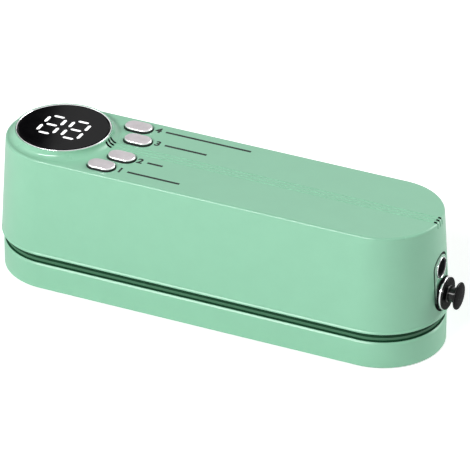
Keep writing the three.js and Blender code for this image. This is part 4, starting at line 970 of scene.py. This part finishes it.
fit(gasket("foam_gasket_lower", (12.65, 16.2), True), "base", gasket_foam, "grey_rubber",
    "lower_gasket")
fit(gasket("foam_gasket_upper", (16.5, 18.3), False), "housing", gasket_foam, "grey_rubber",
    "upper_gasket")

# %% Press strip and heater stack
def along_top(height):
    """A test for the long edges of a strip at a height."""
    return lambda edge: all(abs(corner.co.z / MM - height) < 0.01 for corner in edge.verts)


strip = block("silicone_press_strip", *corners("press_strip"))
fit(soften(strip, 1.3, along_top(16.2), 5), "base", silicone_sponge, "silicone_red",
    "press_strip")
bar_body = block("laminate_heater_bar", *corners("heater_bar"), 0.15)
fit(bar_body, "housing", brown_laminate, "heater_tan", "heater_bar")
ribbon = block("heating_ribbon", *corners("heating_strip"), 0.05)
fit(ribbon, "housing", ribbon_metal, "steel", "heating_strip")
cloth = block("coated_cloth_strip", *corners("ptfe_cover"))
fit(soften(cloth, 0.18, along_top(16.5), 2), "housing", glass_cloth, "cover_tan", "ptfe_cover")

# %% [markdown]
# ## Jaw plate
# The plate closes the housing from below and meets the tray. It carries the upper gasket,
# the heater, two strike plates for the magnets, and the middle knuckles of the hinge.

# %% Jaw plate
jaw = pull_apart(turned("moulded_jaw_plate", [
    *round_foot(25.4, JAW_Z[0], 0.3, 3), (25.4, JAW_Z[1])], SHELL_SIDES), ARC_X)
combine(jaw, groove("gasket_groove", *GASKET_GROOVE, (16, 18.4), TROUGH_X, (0, TROUGH_Y)))
combine(jaw, block("heater_seat", (-SEAL_X - 0.15, SEAL_Y - 3.65, 16),
                   (SEAL_X + 0.15, SEAL_Y + 3.65, 18.4)))
for place in MAGNETS:
    combine(jaw, slab("strike_pocket", 3.15, (16, 18.4), 0, place, 48))
for place in JAW_SCREWS:
    combine(jaw, slab("head_seat", 2.5, (16, 17.95), 0, place, 32))
    combine(jaw, slab("screw_hole", 1.4, (16, 20), 0, place, 32))
combine(jaw, slab("air_hole", 1.2, (16, 20), 0, (42, 11.6), 32))
for middle in HINGES:
    combine(jaw, knuckle((middle - 3, middle + 3), (23.6, 25.2), (14.5, 18.1)), "UNION")
    combine(jaw, bar_x("hinge_bore", 1.2, (middle - 4, middle + 4), HINGE_Y, HINGE_Z, sides=32))
fit(jaw, "housing", mint_abs, "mint_plastic", "jaw_plate")

# %% [markdown]
# ## Pins, magnets and screws
# Two hinge pins have rounded ends. Magnets and strikes are flat discs with a ground edge.
# The screws have pan heads with a cross recess, and all six heads face down.

# %% Hinge pins, magnets and strikes
for side, middle in zip(SIDES, HINGES):
    pin = bar_x(f"steel_hinge_pin_{side}", 0.9, (middle - 8, middle + 8), HINGE_Y, HINGE_Z, 0.25)
    fit(pin, "base", nickel_steel, "steel", f"hinge_pin_{side}")
for side, place in zip(SIDES, MAGNETS):
    for name, body, node, z in (("plated_magnet", "base", "base_magnet", (12, 14)),
                                ("steel_strike", "housing", "strike_plate", (16.9, 18.3))):
        disc = turned(f"{name}_{side}", [*round_foot(3, z[0], 0.25, 3),
                                         *round_head(3, z[1], 0.25, 3)], 48, place)
        fit(disc, body, nickel_steel, "steel", f"{node}_{side}")

# %% Screws
def screw(name, place, foot, tip):
    """A screw with its head down, a domed face and a cross recess."""
    x, y = place
    top = foot + 0.9
    piece = turned(name, [(1, foot), (1.7, foot + 0.12), (2.05, foot + 0.3), (2.2, foot + 0.55),
                          (2.2, top), (1.1, top), (1.1, tip - 0.8), (0.3, tip)], 32, place)
    for half_x, half_y in ((1.15, 0.22), (0.22, 1.15)):
        combine(piece, block("cross", (x - half_x, y - half_y, foot - 1),
                             (x + half_x, y + half_y, foot + 0.5)))
    return piece


for i, place in enumerate(JAW_SCREWS, 1):
    fit(screw(f"steel_jaw_screw_{i}", place, 17, 29.9), "housing", nickel_steel, "steel",
        f"jaw_screw_{i}")
for side, place in zip(SIDES, TRAY_SCREWS):
    fit(screw(f"steel_tray_screw_{side}", place, 1.8, 9.1), "base", nickel_steel, "steel",
        f"tray_screw_{side}")

# %% [markdown]
# ## Printed marks
# Beside the buttons the top carries plain numbers and thin lines, pad-printed in black ink.
# The numbers come from Blender's built-in font and are made a mesh before they are placed.

# %% Black ink and the marks
black_ink = finish("black_pad_ink", "#0C120F", 0.5, Specular_IOR_Level=0.3)
grain(black_ink, 0.3, 0.003)
mottle(black_ink, 2, ("#0A0F0D", "#111915"), (0.45, 0.55))
INK, NUMBER_HEIGHT = 0.03, 3.6
# A number, its y and x, and how far beyond x its line ends.
MARKS = [("1", -17.6, -39.8, 28.4), ("2", -7.3, -35.6, 11.6),
         ("3", 9.0, -35.4, 23.8), ("4", 19.3, -39.8, 43.7)]


def number(text, x, y):
    """A number as a thin mesh on the top. A digit is 0.7 of the font's size high."""
    bpy.ops.object.text_add()
    words = bpy.context.object
    words.data.body = text
    words.data.size = NUMBER_HEIGHT / 0.7 * MM
    words.data.align_y = "CENTER"
    words.data.extrude = INK / 2 * MM
    words.data.offset = 0.2 * MM
    bpy.ops.object.convert(target="MESH")
    words = bpy.context.object
    words.location = (x * MM, y * MM, (TOP_Z + INK / 2) * MM)
    return settle(words, "number")


for text, y, x, length in MARKS:
    thin = block("line", (x + 4.6, y - 0.6, TOP_Z - INK), (x + length, y + 0.6, TOP_Z + INK))
    mark = joined(f"ink_mark_{text}", [number(text, x, y), thin])
    fit(mark, "housing", black_ink, "dark_rubber")

# %% [markdown]
# ## Parts that stay as they are
# The boards, cells, pump and hoses inside show only when the housing is opened or taken
# apart. Their solids are right as they are, so each only gets the finish of the real part:
# fibreglass boards under green lacquer, cells in blue shrink wrap, a brass crank turned on a
# lathe, clear PVC hoses, and nylon moulded in black or in its own off-white.

# %% Finishes of the inner parts
board = finish("green_circuit_board", "#1F5B3A", 0.4, IOR=1.5)
grain(board, 0.8, 0.01)
mottle(board, 3, ("#1B5334", "#256842"), (0.34, 0.48))
cell_wrap = finish("blue_shrink_wrap", "#2F5FA8", 0.32, IOR=1.5)
grain(cell_wrap, 6, 0.05)
mottle(cell_wrap, 10, ("#2A589E", "#3769B4"), (0.28, 0.38))
brass = finish("turned_brass", "#B98A4A", 0.3, 1)
mottle(brass, 1, ("#B0813F", "#C49655"), (0.25, 0.38))
hose = finish("clear_pvc_hose", "#C9D2D0", 0.2, IOR=1.5, Transmission_Weight=0.5)
mottle(hose, 4, ("#C3CCCA", "#D0D8D6"), (0.16, 0.26))
white_nylon = finish("natural_nylon", "#D8D6CC", 0.5, IOR=1.53)
grain(white_nylon, 0.3, 0.008)
mottle(white_nylon, 5, ("#D2D0C6", "#DEDCD2"), (0.45, 0.56))

INNER = {
    "boards": (board, ["display_board", "main_board"]),
    "cells": (cell_wrap, ["battery_cell_1", "battery_cell_2"]),
    "black nylon": (black_nylon, ["battery_holder", "motor_cradle",
                                  *[f"tact_switch_{i}" for i in (1, 2, 3, 4)]]),
    "white nylon": (white_nylon, ["cylinder_block", "pump_piston", "valve_body",
                                  "valve_plunger", "chamber_elbow",
                                  *[f"tact_plunger_{i}" for i in (1, 2, 3, 4)]]),
    "steel": (nickel_steel, ["pump_motor"]),
    "brass": (brass, ["pump_crank"]),
    "hoses": (hose, ["chamber_hose", "port_hose"]),
}
for group, (material, names) in INNER.items():
    for name in names:
        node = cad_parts[name]
        if not node.material_slots:
            node.data.materials.append(material)
        for slot in node.material_slots:
            slot.material = material
    print(group, "on", len(names), "parts")

# %% [markdown]
# ## Floor, light and camera
# The studio is a pale floor under a white sky. The camera sees the sky and the floor as
# white, and so do metal and gloss, but the light that they throw on the object is set apart
# from that.

# %% Floor
FLOOR_SEEN, FLOOR_MIRRORED = 0.52, 0.12
pale_floor = finish("pale_paper_floor", "#F2F2F2", 0.9, Emission_Color=(1, 1, 1, 1))
floor_ray = add(pale_floor, "ShaderNodeLightPath", {})
floor_gloss = add(pale_floor, "ShaderNodeMath", {
    0: floor_ray.outputs["Is Glossy Ray"], 1: FLOOR_MIRRORED}, operation="MULTIPLY")
floor_level = add(pale_floor, "ShaderNodeMath", {
    0: floor_ray.outputs["Is Camera Ray"], 1: FLOOR_SEEN, 2: floor_gloss.outputs["Value"]},
    operation="MULTIPLY_ADD")
drive(pale_floor, "Emission Strength", floor_level.outputs["Value"])
bpy.ops.object.select_all(action="DESELECT")
bpy.ops.mesh.primitive_plane_add(size=30, location=(0, 0, -0.1 * MM))
floor = settle(bpy.context.object, "studio_floor")
floor.data.materials.append(pale_floor)
print("floor at", round(floor.data.vertices[0].co.z / MM, 2), "mm")

# %% Sky
SKY_ON_OBJECT, SKY_SEEN = 0.1, 1.0
sky = bpy.data.worlds.new("studio_sky")
sky.use_nodes = True
bpy.context.scene.world = sky
back = sky.node_tree.nodes["Background"]
back.inputs["Color"].default_value = (1, 1, 1, 1)
sky_ray = add(sky, "ShaderNodeLightPath", {})
seen = add(sky, "ShaderNodeMath", {
    0: sky_ray.outputs["Is Camera Ray"], 1: sky_ray.outputs["Is Glossy Ray"]},
    operation="ADD", use_clamp=True)
seen_at_all = add(sky, "ShaderNodeMath", {
    0: seen.outputs["Value"], 1: sky_ray.outputs["Is Transmission Ray"]},
    operation="ADD", use_clamp=True)
level = add(sky, "ShaderNodeMapRange", {
    "Value": seen_at_all.outputs["Value"], "To Min": SKY_ON_OBJECT, "To Max": SKY_SEEN})
sky.node_tree.links.new(level.outputs["Result"], back.inputs["Strength"])
print("sky", SKY_SEEN, "to the camera,", SKY_ON_OBJECT, "on the object")

# %% [markdown]
# A long strip of a lamp in front makes the front wall the lightest, and its mirror image runs
# as a bright line along the rounded edges. A weak square lamp fills in from the left, and a
# stronger one behind on the right lights the round end.

# %% Lamps
MIDDLE = Vector((0, 0, 0.03))
LAMP_DISTANCE = 1.6


def direction(azimuth, elevation):
    """The direction that lies these degrees to the right of the front, and up."""
    turn, rise = math.radians(azimuth), math.radians(elevation)
    return Vector((math.sin(turn) * math.cos(rise), -math.cos(turn) * math.cos(rise),
                   math.sin(rise)))


def lamp(name, azimuth, elevation, watts, wide, high):
    """An area lamp in this direction, aimed at the object's middle."""
    bpy.ops.object.light_add(
        type="AREA", location=direction(azimuth, elevation) * LAMP_DISTANCE)
    made = bpy.context.object
    made.name = name
    made.data.energy = watts
    made.data.shape = "RECTANGLE"
    made.data.size, made.data.size_y = wide, high
    aim = MIDDLE - made.location
    made.rotation_euler = aim.to_track_quat("-Z", "Y").to_euler()
    print(name, watts, "W")


lamp("front_softbox", -16, 38, 20, 1.05, 0.27)
lamp("left_softbox", -60, 30, 2.6, 0.9, 0.9)
lamp("right_softbox", 138, 30, 16.5, 0.9, 0.9)

# %% [markdown]
# The camera stands 25 degrees to the right of the front and 30 degrees up. It is far away
# behind a long lens, so the two halves' edges run almost parallel, as in the photograph.

# %% Camera
AZIMUTH, ELEVATION = 25.008, 30.363
DISTANCE, LENS, ASIDE = 2.202, 406.2, 0.00507
to_camera, to_right = direction(AZIMUTH, ELEVATION), direction(AZIMUTH + 90, 0)
bpy.ops.object.camera_add(location=MIDDLE + to_camera * DISTANCE + to_right * ASIDE)
camera = bpy.context.object
camera.data.lens = LENS
camera.data.sensor_width = 36
camera.data.clip_end = 100
camera.rotation_euler = (-to_camera).to_track_quat("-Z", "Y").to_euler()
bpy.context.scene.camera = camera
bpy.context.scene.view_settings.view_transform = "Standard"
print("camera", DISTANCE, "m away, lens", LENS, "mm")

# %% [markdown]
# The window lies flat and mirrors what stands behind the appliance on the left. A narrow
# black card there, which only gloss can see, gives it a darker half, as glass shows in a
# studio. The sight line to the window's middle, turned upward, says where the card stands.

# %% Black card
CARD_DISTANCE, CARD_ASIDE, CARD_SIZE = 1.2, 0.05, (0.3, 0.1, 1)
split = Vector((-77.2, -1.5, LENS_TOP_Z)) * MM
sight = (split - camera.location).normalized()
ray = Vector((sight.x, sight.y, -sight.z))
# Seen in the window, the card's edge stands up and leans a little to the right.
edge_line = to_right * 0.25 + to_right.cross(sight) * 0.97
along = Vector((edge_line.x, edge_line.y, -edge_line.z))
along = (along - along.dot(ray) * ray).normalized()
aside = ray.cross(along)
black_card = finish("black_card", "#0A0A0A", 0.9)
bpy.ops.object.select_all(action="DESELECT")
bpy.ops.mesh.primitive_plane_add(
    size=1, location=split + CARD_DISTANCE * ray + CARD_ASIDE * aside,
    rotation=Matrix((along, aside, along.cross(aside))).transposed().to_euler())
card = bpy.context.object
card.scale = CARD_SIZE
card = settle(card, "studio_card")
card.data.materials.append(black_card)
card.visible_camera = card.visible_diffuse = card.visible_shadow = False
card.visible_transmission = False
print("card", CARD_DISTANCE, "m from the window")
